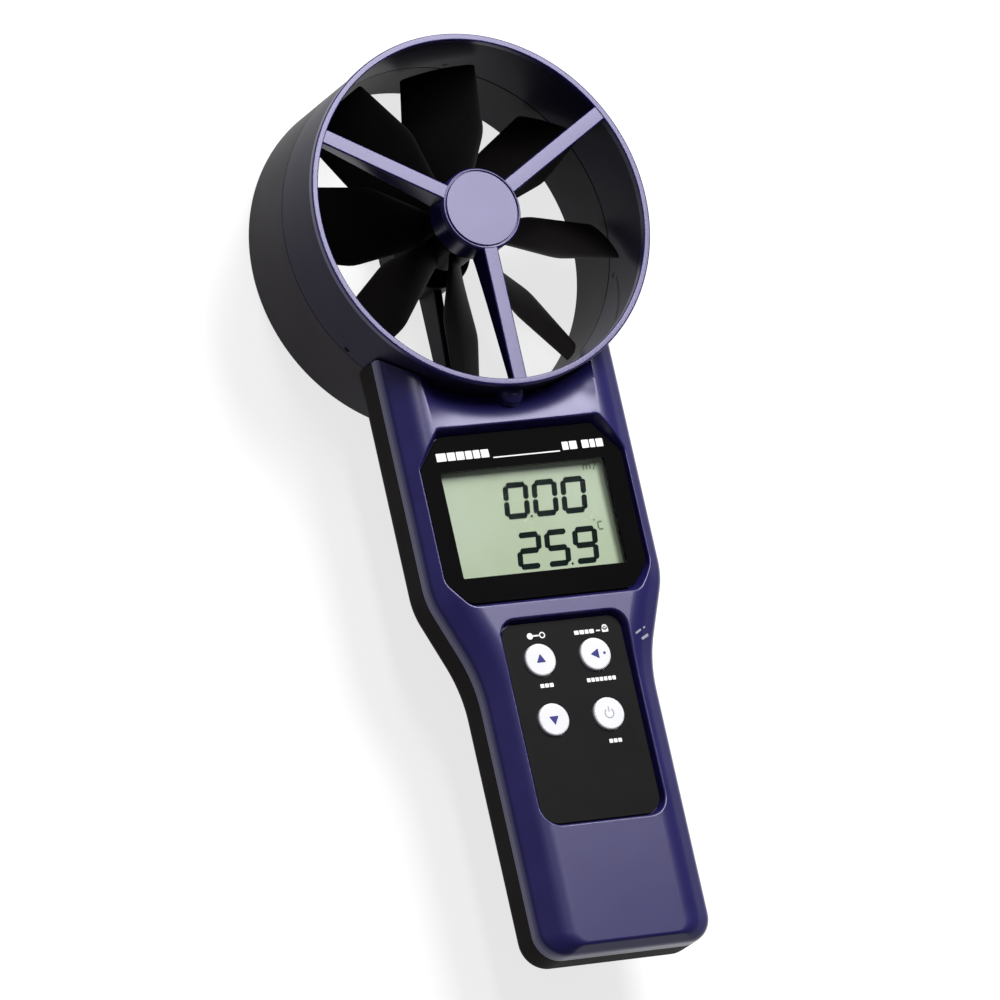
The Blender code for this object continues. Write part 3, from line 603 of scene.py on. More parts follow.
def clear_window(name):
    """Thin clear plastic: light passes straight through, and the front reflects."""
    shader = Shader(name)
    tree = shader.tree
    clear = shader.node("ShaderNodeBsdfTransparent", Color=(0.93, 0.95, 0.93, 1.0))
    gloss = shader.node("ShaderNodeBsdfGlossy", Roughness=0.06)
    fresnel = shader.node("ShaderNodeFresnel", IOR=1.04)
    smudge = shader.noise(14.0, 3.0)
    shader.link(shader.remap(smudge, 0.03, 0.1, 0.35, 0.65), gloss.inputs["Roughness"])
    blend = tree.nodes.new("ShaderNodeMixShader")
    shader.link(fresnel.outputs["Fac"], blend.inputs["Fac"])
    shader.link(clear.outputs["BSDF"], blend.inputs[1])
    shader.link(gloss.outputs["BSDF"], blend.inputs[2])
    output = next(n for n in tree.nodes if n.type == 'OUTPUT_MATERIAL')
    shader.link(blend.outputs["Shader"], output.inputs["Surface"])
    return shader.material


def lcd_glass(name):
    """A pale green reflective liquid crystal panel with a faint unevenness."""
    shader = Shader(name)
    slow = shader.noise(26.0, 3.0)
    fine = shader.noise(0.28, 1.0)
    colour = shader.mix(shader.remap(slow, 0.0, 1.0, 0.35, 0.65), (0.31, 0.345, 0.25),
                        (0.335, 0.365, 0.29))
    shader.drive(Base_Color=colour, Roughness=shader.remap(fine, 0.28, 0.36))
    shader.bump((fine, 0.002))
    shader.set(Specular_IOR_Level=0.15)
    return shader.material


MATERIALS = {
    "navy": moulded("navy_plastic", (0.0085, 0.0068, 0.056), (0.0110, 0.0088, 0.066), (0.29, 0.32),
                    specular=0.38, tint=(0.97, 0.93, 1.15)),
    # the ring's outer wall: the lip's navy plastic painted darker and greyer, painted shade of a
    # wall that faces away from the light
    "ring": moulded("shaded_ring_plastic", (0.010, 0.0075, 0.022), (0.013, 0.010, 0.027), (0.38, 0.43),
                    specular=0.06),
    "rear_ring": moulded("rear_ring_plastic", (0.010, 0.007, 0.011), (0.014, 0.010, 0.015),
                         (0.46, 0.54), specular=0.10),
    "cover": moulded("cover_plastic", (0.0036, 0.0024, 0.0021), (0.0056, 0.0038, 0.0032),
                     (0.5, 0.6), 0.45, 0.01, 0.03),
    "blade": moulded("vane_plastic", (0.0014, 0.0010, 0.0010), (0.0024, 0.0018, 0.0018),
                     (0.46, 0.56), 0.3, 0.004, 0.08),
    "film": moulded("keypad_film", (0.0028, 0.0022, 0.0022), (0.0038, 0.0031, 0.0030), (0.4, 0.48),
                    0.22, 0.004, 0.05),
    "bezel": moulded("bezel_plastic", (0.0008, 0.0006, 0.0008), (0.0014, 0.0010, 0.0012),
                     (0.36, 0.44), 0.6, 0.0004, 0.01, 20.0),
    "key": moulded("key_plastic", (0.50, 0.50, 0.52), (0.55, 0.55, 0.57), (0.3, 0.38), 0.3, 0.002,
                   0.3),
    "print": moulded("white_print", (0.62, 0.62, 0.62), (0.68, 0.68, 0.68), (0.5, 0.6), 0.2, 0.002,
                     0.2),
    "navy_ink": moulded("navy_ink", (0.010, 0.010, 0.12), (0.014, 0.014, 0.16), (0.45, 0.55), 0.2,
                        0.002, 0.2),
    "grey_ink": moulded("grey_ink", (0.22, 0.22, 0.27), (0.27, 0.27, 0.32), (0.5, 0.6), 0.2, 0.002,
                        0.2),
    "segment": moulded("lcd_segment", (0.002, 0.005, 0.005), (0.003, 0.007, 0.007), (0.4, 0.5), 0.3,
                       0.001, 0.02),
    "faint_segment": moulded("lcd_faint_segment", (0.07, 0.12, 0.06), (0.10, 0.15, 0.08),
                             (0.4, 0.5), 0.3, 0.001, 0.1),
    "white_plastic": moulded("white_plastic", (0.66, 0.66, 0.64), (0.76, 0.76, 0.74)),
    "rubber": moulded("black_rubber", (0.018, 0.018, 0.018), (0.03, 0.03, 0.03), (0.7, 0.8)),
    "chip": moulded("chip_black", (0.006, 0.005, 0.006), (0.009, 0.008, 0.009), (0.5, 0.6),
                    specular=0.15),
    "board": moulded("circuit_board", (0.015, 0.09, 0.035), (0.03, 0.15, 0.06), (0.3, 0.4), 0.8,
                     0.01, 0.5, 1.6),
    "cell": moulded("cell_wrap", (0.02, 0.06, 0.18), (0.03, 0.08, 0.24), (0.2, 0.28)),
    "steel": metal("plated_steel", (0.62, 0.62, 0.63), 0.3),
    "brass": metal("turned_brass", (0.72, 0.52, 0.24), 0.3),
    "pane": clear_window("clear_window"),
    "lcd": lcd_glass("lcd_panel"),
}


# --- vane ring ---
def front_guard():
    """The navy front half of the ring with its struts and hub cup."""
    low = SEAM_Z + SEAM_GAP
    lap = LAP_R - 0.15
    outer = [(BORE_R, LAP_Z), (BORE_R, LIP_Z), (WALL_R, LIP_Z), (WALL_R, low), (lap, low),
             (lap, LAP_Z)]
    wall = lathe("guard_ring", rounded(outer, (0.15, 0.05, 0.05, 0.15, 0.1, 0.1),
                                       (1, 1, 1, 3, 1, 1)))
    lip = [(BORE_R, LIP_Z), (BORE_R, RIM_Z), (RIM_R, RIM_Z), (RIM_R, LIP_Z + 0.4), (WALL_R, LIP_Z)]
    piece(lathe("guard_lip", rounded(lip, (0.0, 0.4, 0.5, 0.2, 0.0), (0, 5, 5, 2, 0))), "navy")
    # near-black plugs seated inside the snap holes: painted shade that darkens the holes
    for number, angle in enumerate(SNAP_HOLES, start=1):
        piece(rod(f"snap_hole_shade_{number}", angle, BORE_R + 0.1, WALL_R - 0.35, SNAP_HOLE_R - 0.02,
                  SNAP_Z), "chip")
    cut(wall, *[rod("snap_hole", angle, BORE_R - 3.0, RIM_R + 3.0, SNAP_HOLE_R, SNAP_Z)
                for angle in SNAP_HOLES])
    # the wall and the navy lip are one moulding; the wall's darker ring plastic is painted shade
    piece(wall, "ring", replaces=("front_ring",))
    struts("guard_strut", front_section, "navy")
    root_z = STRUT_TOP - STRUT_DEPTHS[0]
    cup = [(AXLE_ROOM_R, root_z), (HUB_R, root_z), (HUB_R, 45.4), (CUP_R, 45.4), (CUP_R, 38.6),
           (AXLE_ROOM_R, 38.6)]
    piece(lathe("guard_hub", rounded(cup, (0.2, 1.2, 0.2, 0.2, 0.4, 0.2), (1, 5, 1, 1, 2, 1))),
          "navy")
    cap = rounded([(0.0, 44.2), (10.2, 44.2), (10.2, 45.7), (HUB_R, 45.7), (HUB_R, 46.3),
                   (11.9, RIM_Z - 0.12), (11.5, RIM_Z - 0.12), (11.5, RIM_Z - 0.55),
                   (11.15, RIM_Z - 0.55), (11.15, RIM_Z), (0.0, RIM_Z)],
                  (0, 0.2, 0.1, 0.1, 0.2, 0.25, 0.1, 0.05, 0.05, 0.25, 0),
                  (0, 1, 1, 1, 2, 3, 2, 1, 1, 3, 0))
    piece(lathe("hub_cap", cap), "navy", replaces=("front_hub_cap",))
    nub = [(0.0, NUB_Z[0]), (NUB_R, NUB_Z[0]), (NUB_R, NUB_Z[1]), (0.0, NUB_Z[1])]
    piece(lathe("lead_nub", rounded(nub, (0, 0.2, 3.0, 0), (0, 1, 12, 0)), 0.0, down(NUB), 64),
          "navy")


def pickup_lead():
    """The pickup's lead, from the hub along the lower strut and down into the handle."""
    curve = bpy.data.curves.new("pickup_lead", 'CURVE')
    curve.dimensions = '3D'
    curve.bevel_depth = 0.6 * MM
    curve.bevel_resolution = 3
    curve.use_fill_caps = True
    curve.resolution_u = 8
    spline = curve.splines.new('BEZIER')
    spline.bezier_points.add(len(LEAD_ROUTE) - 1)
    for point, (distance, z) in zip(spline.bezier_points, LEAD_ROUTE):
        point.co = (0.0, down(distance) * MM, z * MM)
        point.handle_left_type = point.handle_right_type = 'AUTO'
    lead = placed("pickup_lead", curve)
    curve.materials.append(MATERIALS["rubber"])
    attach(lead, "root")
    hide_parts("sensor_lead")


def struts(name, section, look):
    """The struts, lofted from the hub to the ring wall; section(t) is their outline at share t."""
    shares = [k / STRUT_STATIONS for k in range(STRUT_STATIONS + 1)]
    for number, angle in enumerate(STRUT_ANGLES, start=1):
        loops = [[polar(angle, lerp(HUB_R - 0.6, BORE_R + 0.7, t), offset, z)
                  for offset, z in section(t ** STRUT_EASE)] for t in shares]
        piece(skin(f"{name}_{number}", loops), look)


def front_section(t):
    """A flat-topped section whose web gets shallower towards the rim."""
    low = STRUT_TOP - lerp(*STRUT_DEPTHS, t)
    section = [(-STRUT_HALF, STRUT_TOP), (STRUT_HALF, STRUT_TOP), (1.5, low), (-1.5, low)]
    return rounded(section, (0.45, 0.45, 0.7, 0.7), (4, 4, 4, 4))


def rear_section(t):
    """The section of a rear strut, deeper at the hub than at the wall."""
    high = lerp(*REAR_STRUT_HEIGHTS, t)
    section = [(-1.3, high), (1.3, high), (2.03, 0.2), (-2.03, 0.2)]
    return rounded(section, (0.6, 0.6, 0.4, 0.4), (4, 4, 3, 3))


def rear_guard():
    """The black rear half of the ring with its struts, hub cup and cap."""
    high = SEAM_Z - SEAM_GAP
    lap = LAP_R + 0.15
    outer = [(BORE_R, 0.0), (WALL_R, 0.0), (WALL_R, high), (lap, high), (lap, LAP_Z - SHELL_GAP),
             (BORE_R, LAP_Z - SHELL_GAP)]
    wall = lathe("rear_guard_ring", rounded(outer, (0.4, 0.5, 0.15, 0.1, 0.1, 0.15),
                                            (4, 4, 3, 1, 1, 1)))
    tongue = block("rear_guard_tongue", (-33.5, 33.5), (down(66.5), down(40.0)), (23.0, 28.7))
    bore = lathe("tongue_bore", [(0.0, 10.0), (WALL_R - 0.4, 10.0), (WALL_R - 0.4, 24.35),
                                 (SADDLE_R, 24.35), (SADDLE_R, 40.0), (0.0, 40.0)])
    cut(tongue, bore)
    piece(tongue, "cover")
    piece(wall, "rear_ring", replaces=("rear_ring",))
    struts("rear_guard_strut", rear_section, "rear_ring")
    cup = [(AXLE_ROOM_R, 10.0), (CUP_R, 10.0), (CUP_R, 1.6), (HUB_R, 1.6), (HUB_R, 11.8),
           (AXLE_ROOM_R, 11.8)]
    piece(lathe("rear_guard_hub", rounded(cup, (0.2, 0.4, 0.2, 0.2, 1.0, 0.2), (1, 2, 1, 1, 5, 1))),
          "rear_ring")
    low = REAR_CAP_LOW.z
    cap = rounded([(0.0, low), (11.3, low), (HUB_R, 1.1), (HUB_R, 1.3), (10.2, 1.3), (10.2, 2.8),
                   (0.0, 2.8)], (0, 0.35, 0.1, 0.1, 0.1, 0.2, 0), (0, 4, 1, 1, 1, 1, 0))
    piece(lathe("rear_cap", cap), "cover", replaces=("rear_hub_cap",))


# --- impeller ---
def blade_half(radius):
    """Half extents of a blade round the axis and along it, straight between its stations."""
    spread = 2.0
    samples = [radius + spread * (k / 4.0 - 1.0) for k in range(9)]
    rows = [[interpolate([(row[0], row[column]) for row in BLADE_STATIONS], sample)
             for column in (1, 2)] for sample in samples]
    return tuple(sum(values) / len(values) for values in zip(*rows))


def blade(name, centre):
    """One pitched blade, its tip lying on the tip cylinder."""
    loops = []
    root = BLADE_STATIONS[0][0]
    for k in range(BLADE_LOOPS + 1):
        t = k / BLADE_LOOPS
        radius = root + (ROTOR_R - root) * (1.0 - (1.0 - t) ** 1.6)
        around, axial = blade_half(radius)
        chord = math.hypot(around, axial)
        into = max(0.0, (radius - (ROTOR_R - BLADE_CORNER)) / BLADE_CORNER)
        keep = 1.0 - BLADE_CORNER / chord * (1.0 - math.sqrt(max(0.0, 1.0 - into * into)))
        thickness = BLADE_THICKNESS * (1.0 - 0.35 * smoothstep(20.0, ROTOR_R, radius))
        loop = []
        for side in (1.0, -1.0):
            for n in range(BLADE_SIDE_POINTS):
                s = side * math.cos(math.pi * n / BLADE_SIDE_POINTS)
                swell = math.sqrt(max(0.0, 1.0 - abs(s) ** 8))
                lift = BLADE_CAMBER * (1.0 - s * s) + side * 0.5 * thickness * swell
                offset = (s * keep * around) + lift * axial / chord
                height = BLADE_Z - s * keep * axial + lift * around / chord
                turn = math.degrees(math.asin(offset / radius))
                loop.append(polar(centre + turn, radius, 0.0, height))
        loops.append(loop)
    return skin(name, loops)


def impeller():
    """Eight blades on a cup-shaped hub."""
    hub = [(1.3, 17.6), (3.2, 17.6), (3.2, 30.0), (7.9, 30.0), (7.9, 18.6), (ROTOR_HUB_R, 18.6),
           (ROTOR_HUB_R, 33.3), (3.2, 33.6), (1.3, 33.6)]
    radii = (0.1, 0.3, 0.8, 0.8, 0.3, 0.3, 1.8, 0.8, 0.1)
    parts = [lathe("rotor_hub", rounded(hub, radii, (1, 1, 2, 2, 1, 1, 6, 2, 1)), segments=96)]
    parts += [blade(f"rotor_blade_{k + 1}", BLADE_PHASE + 360.0 * k / BLADES)
              for k in range(BLADES)]
    for number, part in enumerate(parts):
        piece(part, "blade", "rotor",
              ("impeller",) if number == 0 else (), 50.0)


# --- handle ---
def inset_table(points, radii, steps, limit):
    """An (inset, z) profile with rounded corners as a z to inset table, up to an inset."""
    profile = rounded(points, radii, steps, closed=False)
    return [(z, inset) for inset, z in profile if inset < limit]


def shell_levels(side, end, heights):
    """The handle's outline at each height, inset as the two tables say."""
    return [(handle_outline(interpolate(side, z), interpolate(end, z)), z) for z in heights]


def shell_cavity():
    """The hollow of the front shell, round its ledges and screw bosses."""
    cavity = loft("cavity", [(handle_outline(a, b), z) for a, b, z in CAVITY_LEVELS])
    across = (-FAR, FAR)
    ledges = [block("display_ledge", across, (down(118.2), down(20.0)), (DISPLAY_LEDGE_Z, FAR)),
              block("keypad_ledge", across, (down(183.0), down(117.0)), (KEYPAD_LEDGE_Z, FAR))]
    bosses = [disc("case_boss", x, d, 3.0, CASE_BOSS_Z, 45.0) for x, d in CASE_SCREWS]
    bosses += [disc("board_boss", x, d, 2.4, BOARD_BOSS_Z, 45.0) for x, d in BOARD_SCREWS]
    return cut(cavity, *ledges, *bosses)


def shell_holes():
    """The display's opening, the keys' holes, the screws' pilot holes and the lead's hole."""
    half, top, bottom = LCD_VIEW
    holes = [prism("lcd_opening", rectangle(half + 1.0, top - 1.0, bottom + 1.0, 1.0), 30.0, 36.0)]
    holes += [disc(f"{name}_room", x, d, KEY_R + 0.3, 30.0, 40.0, 48)
              for name, (x, d) in KEYS.items()]
    holes += [disc("case_pilot", x, d, 1.5, 26.0, 34.2, 24) for x, d in CASE_SCREWS]
    holes += [disc("board_pilot", x, d, 1.2, 26.0, 33.6, 20) for x, d in BOARD_SCREWS]
    holes.append(disc("lead_hole", 0.0, 55.5, 1.0, 30.0, 37.0, 24))
    return holes


def front_shell():
    """The navy front shell with its saddle, display recess and keypad recess."""
    side = inset_table([(0.0, PARTING_Z), (0.0, 34.9), (7.6, FACE_Z), (16.0, FACE_Z)],
                       (0, 3.4, 12.0, 0), (0, 8, 11, 0), 15.9)
    end = inset_table([(0.0, PARTING_Z), (0.0, 35.8), (2.2, FACE_Z), (16.0, FACE_Z)],
                      (0, 3.4, 1.2, 0), (0, 8, 6, 0), 15.9)
    heights = sorted({round(z, 3) for z, _ in side + end})
    shell = loft("front_housing", shell_levels(side, end, heights))
    neck = lathe("neck", [(0.0, 20.0), (SADDLE_R, 20.0), (SADDLE_R, FAR), (0.0, FAR)])
    cut(shell, saddle_scoop(), neck)
    cut(shell,
        rolled_recess("display_recess", shell, display_outline, DISPLAY_FLOOR_Z, DISPLAY_SLOPE),
        rolled_recess("keypad_recess", shell, keypad_outline, KEYPAD_FLOOR_Z, KEYPAD_SLOPE))
    cut(shell, shell_cavity(), *shell_holes())
    weld(shell)
    return piece(shell, "navy", replaces=("front_shell",), angle=28.0)


def cheek_mark(shell):
    """Three plain grey bars that follow the shell's cheek beside the keypad."""
    bars = []
    for start, end, width in CHEEK_BARS:
        along = Vector(end) - Vector(start)
        across = along.orthogonal().normalized() * width / 2.0
        loop = [Vector(start) + across, Vector(start) - across, Vector(end) - across,
                Vector(end) + across]
        heights = [surface(shell, x, down(d)) for x, d in loop]
        bars.append(skin("bar", [[(x, down(d), z + lift) for (x, d), z in zip(loop, heights)]
                                 for lift in (-0.2, INK)]))
    piece(joined("cheek_mark", bars), "grey_ink")


def saddle_depth(x, distance, wall):
    """Depth of the saddle: most at the ring's wall, none at the ridge or beside the neck."""
    ridge = DISPLAY_TOP + SADDLE_OVERLAP
    along = max(0.0, min(1.0, (ridge - distance) / (ridge - wall)))
    aside = max(0.0, (abs(x) - SADDLE_FLAT) / SADDLE_FADE)
    return SADDLE_DEPTH * along ** SADDLE_POWER * (1.0 - aside ** 2)


def saddle_scoop():
    """The hollow between the ring and the ridge above the display, as a cutter."""
    rows, columns = SADDLE_GRID
    loops = []
    for column in range(columns + 1):
        x = SADDLE_HALF * (2.0 * column / columns - 1.0)
        wall = math.sqrt(SADDLE_R ** 2 - x * x)
        reach = [lerp(wall - 2.5, DISPLAY_TOP + SADDLE_OVERLAP, row / rows)
                 for row in range(rows + 1)]
        floor = [(x, down(d), FACE_Z + 0.02 - saddle_depth(x, d, wall)) for d in reach]
        loops.append(floor + [(x, down(d), FAR) for d in reversed(reach)])
    return skin("saddle_scoop", loops)


def rear_cover():
    """The black rear cover with its battery bay and screw holes."""
    high = PARTING_Z - SHELL_GAP
    side = inset_table([(12.0, BACK_Z), (0.0, BACK_Z), (0.0, high)], (0, 4.4, 0), (0, 12, 0),
                       11.9)
    tongue = handle_outline(TONGUE_INSET, TONGUE_INSET)
    levels = shell_levels(side, side, [z for z, _ in side])
    cover = loft("rear_housing", levels + [(tongue, high), (tongue, TONGUE_TOP_Z)])
    cavity = loft("cavity", [(handle_outline(a, a), z) for a, z in COVER_CAVITY_LEVELS])
    rib = block("bay_rib", (-FAR, FAR), (down(BAY_RIB[1]), down(BAY_RIB[0])), (BELOW, 29.0))
    posts = [disc("post", x, d, 4.2, BELOW, top) for (x, d), top in zip(CASE_SCREWS, POST_TOPS)]
    cut(cavity, rib, *posts)
    neck = lathe("neck", [(0.0, 10.0), (SADDLE_R, 10.0), (SADDLE_R, FAR), (0.0, FAR)])
    bay = prism("bay", rectangle(BAY_HALF, *BAY, 1.5), BELOW, 22.6)
    door_room = prism("door_room", rectangle(DOOR_HIGH.x + 0.3, RING_Y - DOOR_HIGH.y - 0.3,
                                             RING_Y - DOOR_LOW.y + 0.3, 3.0),
                      BELOW, DOOR_HIGH.z + 0.3)
    room = [(0.0, BELOW), (3.1, BELOW), (3.1, 22.2), (1.6, 22.2), (1.6, 36.0), (0.0, 36.0)]
    screw_rooms = [lathe("screw_room", room, x, down(d), 40) for x, d in CASE_SCREWS]
    cut(cover, cavity, neck, bay, door_room, *screw_rooms)
    soften(cover, 0.3)
    piece(cover, "cover", replaces=("rear_cover",), angle=28.0)


def battery_door():
    """The door over the battery bay: finger grooves and a moulded arrow."""
    outline = rectangle(DOOR_HIGH.x, RING_Y - DOOR_HIGH.y, RING_Y - DOOR_LOW.y, 2.7)
    door = prism("bay_door", outline, DOOR_LOW.z, DOOR_HIGH.z)
    grooves = []
    for number in range(GROOVES):
        top = down(GROOVE_START + GROOVE_PITCH * number)
        low = top - GROOVE_WIDTH
        slot = [(-GROOVE_HALF, top), (GROOVE_HALF, top), (GROOVE_HALF, low), (-GROOVE_HALF, low)]
        grooves.append(prism("groove", rounded(slot, (0.49,) * 4, (4,) * 4), BELOW,
                             DOOR_LOW.z + 0.5))
    arrow = prism("arrow", [(-4.0, down(186.0)), (4.0, down(186.0)), (0.0, down(191.0))], BELOW,
                  DOOR_LOW.z + 0.35)
    cut(door, *grooves, arrow)
    soften(door, 0.25)
    piece(door, "cover", "battery_door", ("battery_door",))


# --- display ---
def display():
    """The black bezel, the clear window and the plain rule and bars printed on it."""
    low, high = WINDOW_LOW.z, WINDOW_HIGH.z
    inset = DISPLAY_SLOPE * (FACE_Z - high) + 0.65
    bezel = prism("display_bezel", display_outline(inset), low, high)
    opening = rectangle(*LCD_VIEW, 0.4, 3)
    cut(bezel, prism("view", opening, low - 1.0, high + 1.0))
    piece(bezel, "bezel", replaces=("display_window",))
    half, top, bottom = LCD_VIEW
    pane = prism("display_pane", rectangle(half - 0.02, top + 0.02, bottom - 0.02, 0.38, 3),
                 high - 0.5, high - 0.02)
    piece(pane, "pane")
    marks = [strip("rule", (-8.6, 70.75), (12.9, 70.75), 0.34, high),
             *blocks("mark", -26.5, -9.7, 69.3, 2.4, (3, 2.4, 2.4, 2, 2, 2.4), high, 0.4),
             *blocks("mark", 13.9, 18.6, 69.4, 2.4, (2, 2.4), high, 0.4),
             *blocks("mark", 20.2, 27.0, 69.4, 2.4, (2.2, 1.6, 2.2), high, 0.4)]
    piece(joined("bezel_marks", marks), "print")


def strip(name, start, end, width, z, radius=0.12):
    """A thin printed bar between two (x, distance) points."""
    (x0, d0), (x1, d1) = start, end
    along = unit(x1 - x0, d0 - d1)
    across = (-along[1] * width / 2.0, along[0] * width / 2.0)
    points = [(x + sign * across[0], down(d) + sign * across[1])
              for x, d, sign in ((x0, d0, 1), (x0, d0, -1), (x1, d1, -1), (x1, d1, 1))]
    return prism(name, rounded(points, (min(radius, width * 0.45),) * 4, (3,) * 4), z - INK,
                 z + INK)


def blocks(name, start, end, distance, height, widths, z, gap=0.3):
    """A row of small plain blocks that stands where lettering would be."""
    scale = (end - start - gap * (len(widths) - 1)) / sum(widths)
    parts = []
    x = start
    top, bottom = distance - height / 2.0, distance + height / 2.0
    for width in widths:
        middle = x + width * scale / 2.0
        parts.append(strip(name, (middle, top), (middle, bottom), width * scale, z, 0.15))
        x += width * scale + gap
    return parts


SEGMENTS = {
    "a": ((0.0, 0.0), (1.0, 0.0)), "b": ((1.0, 0.0), (1.0, 0.5)), "c": ((1.0, 0.5), (1.0, 1.0)),
    "d": ((0.0, 1.0), (1.0, 1.0)), "e": ((0.0, 0.5), (0.0, 1.0)), "f": ((0.0, 0.0), (0.0, 0.5)),
    "g": ((0.0, 0.5), (1.0, 0.5))}
DIGITS = {"0": "abcdef", "2": "abged", "5": "afgcd", "9": "abcdfg"}
SLANT = 0.14
STROKE = 1.7
SEGMENT_GAP = 0.16
# the small signs beside the digits: a degree sign with its letter, then the speed's unit
SMALL_MARKS = (
    ((21.2, 92.0), (21.2, 94.0), 0.45), ((21.3, 91.9), (22.6, 91.9), 0.45),
    ((21.3, 94.1), (22.6, 94.1), 0.45), ((20.0, 91.2), (20.5, 91.2), 0.5),
    ((20.6, 74.9), (20.6, 76.2), 0.4), ((21.7, 74.9), (21.7, 76.2), 0.4),
    ((22.8, 74.9), (22.8, 76.2), 0.4), ((20.5, 74.8), (22.9, 74.8), 0.4),
    ((23.7, 76.4), (24.6, 74.4), 0.35))


def segment(name, cell, size, start, end, z):
    """One bar of a seven-segment digit, with mitred ends, slanted with its digit."""
    left, top = cell
    width, height = size
    half = STROKE / 2.0
    (x0, y0), (x1, y1) = [(left + half + across * (width - STROKE),
                           top + half + below * (height - STROKE))
                          for across, below in (start, end)]
    along = unit(x1 - x0, y1 - y0)
    flat = 0.35 * half
    back = SEGMENT_GAP + 0.6 * half
    shape = []
    for x, y, sign in ((x0, y0, 1.0), (x1, y1, -1.0)):
        for reach, side in ((back, half), (SEGMENT_GAP, flat), (SEGMENT_GAP, -flat), (back, -half)):
            shape.append((x + sign * (along[0] * reach - along[1] * side),
                          y + sign * (along[1] * reach + along[0] * side)))
    outline = [(x + (top + height - y) * SLANT, down(y)) for x, y in shape]
    return prism(name, outline, z, z + INK)


def number(text, left, top, size, pitch, z):
    """A row of digits; a full stop is a square dot between two cells."""
    parts = []
    x = left
    for sign in text:
        if sign == ".":
            dot = (x - 0.55 * (pitch - size[0]) - 0.1, top + size[1])
            parts.append(strip("dot", (dot[0] - 0.3, dot[1] - 0.4), (dot[0] + 0.3, dot[1] - 0.4),
                               0.65, z, 0.05))
            continue
        for key in DIGITS[sign]:
            parts.append(segment(f"segment_{key}", (x, top), size, *SEGMENTS[key], z))
        x += pitch
    return parts


def readout():
    """The digits on the liquid crystal panel."""
    z = LCD_HIGH.z
    digits = number("0.00", -7.6, 77.8, (8.1, 10.9), 9.25, z)
    digits += number("25.9", -7.0, 92.8, (8.0, 11.0), 9.05, z)
    piece(joined("lcd_digits", digits), "segment")
    marks = [strip("mark", start, end, width, z) for start, end, width in SMALL_MARKS]
    piece(joined("lcd_small_marks", marks), "faint_segment")


# --- keypad ---
def keypad():
    """The keypad film with its printed bars and the four round keys."""
    low, high = FILM_LOW.z, FILM_HIGH.z
    film = prism("keypad_film", keypad_outline(1.25), low, high)
    cut(film, *[disc("key_room", x, d, KEY_R + 0.25, low - 1.0, high + 1.0, 64)
                for x, d in KEYS.values()])
    soften(film, 0.12)
    piece(film, "film", replaces=("keypad_overlay",))
    for name, (x, d) in KEYS.items():
        round_key(name, x, d)
    legends(high)


def round_key(name, x, d):
    """A white key with a rounded rim and its printed symbol."""
    low, high = KEY_FLANGE_Z
    profile = [(0.0, KEY_FOOT_Z), (KEY_STEM_R, KEY_FOOT_Z), (KEY_STEM_R, low),
               (KEY_FLANGE_R, low), (KEY_FLANGE_R, high), (KEY_R, high), (KEY_R, KEY_TOP_Z),
               (0.0, KEY_TOP_Z)]
    key = lathe(f"{name}_cap", rounded(profile, (0, 0, 0, 0.2, 0.2, 0.1, 0.55, 0),
                                       (0, 0, 0, 2, 2, 1, 6, 0)), x, down(d), 64)
    piece(key, "key", name, (name,))
    symbol = power_symbol(x, d) if name == "button_power" else arrow_symbol(name, x, d)
    ink = "grey_ink" if name == "button_power" else "navy_ink"
    piece(symbol, ink, name)


def arrow_symbol(name, x, d):
    """A small triangle that points as its key's name says."""
    turn = {"button_up": 90.0, "button_left": 180.0, "button_down": 270.0}[name]
    points = arc(x, down(d), 1.75, [math.radians(turn + 120.0 * k) for k in range(3)])
    arrow = prism(f"{name}_arrow", rounded(points, (0.15,) * 3, (2,) * 3), *SYMBOL_Z)
    if name != "button_left":
        return arrow
    dot = disc("dot", x + 2.7, d, 0.42, *SYMBOL_Z, 20)
    return joined(f"{name}_arrow", [arrow, dot])


def power_symbol(x, d):
    """An open ring with a short bar."""
    outer = 1.55
    inner = 1.2
    steps = 28
    first, last = math.radians(125.0), math.radians(415.0)
    angles = [lerp(first, last, k / steps) for k in range(steps + 1)]
    outline = arc(x, down(d), outer, angles) + arc(x, down(d), inner, angles[::-1])
    ring = prism("ring", outline, *SYMBOL_Z)
    bar = strip("bar", (x, d - 2.0), (x, d - 0.4), 0.35, KEY_TOP_Z - INK / 2)
    return joined("button_power_symbol", [ring, bar])


def printed_ring(x, d, outer, inner, z, segments):
    """A thin printed ring; segments are the numbers round its outside and its hole."""
    return cut(disc("ring", x, d, outer, z - INK, z + INK, segments[0]),
               disc("hole", x, d, inner, z - 1.0, z + 1.0, segments[1]))


def legends(z):
    """Plain bars and simple signs where the keys are labelled."""
    parts = [disc("dot", -10.2, 124.3, 0.95, z - INK, z + INK, 24),
             strip("dash", (-9.2, 124.3), (-7.4, 124.3), 0.45, z),
             printed_ring(-6.3, 124.3, 0.95, 0.6, z, (24, 24))]
    parts += [*blocks("mark", 3.9, 10.2, 124.7, 1.2, (2, 2, 1.6, 2), z, 0.28),
              strip("dash", (10.9, 124.7), (12.2, 124.7), 0.4, z)]
    lock = rounded([(12.8, down(125.3)), (14.8, down(125.3)), (14.8, down(123.9)),
                    (12.8, down(123.9))], (0.2,) * 4, (2,) * 4)
    parts.append(prism("lock", lock, z - INK, z + INK))
    parts.append(printed_ring(13.8, 123.9, 0.85, 0.42, z, (20, 16)))
    for start, end, d, count in ((-10.4, -6.2, 139.1, 3), (4.6, 13.8, 138.9, 7),
                                 (7.3, 11.3, 157.2, 3)):
        parts += blocks("mark", start, end, d, 1.15, (1.0,) * count, z, 0.26)
    piece(joined("keypad_legends", parts), "print")


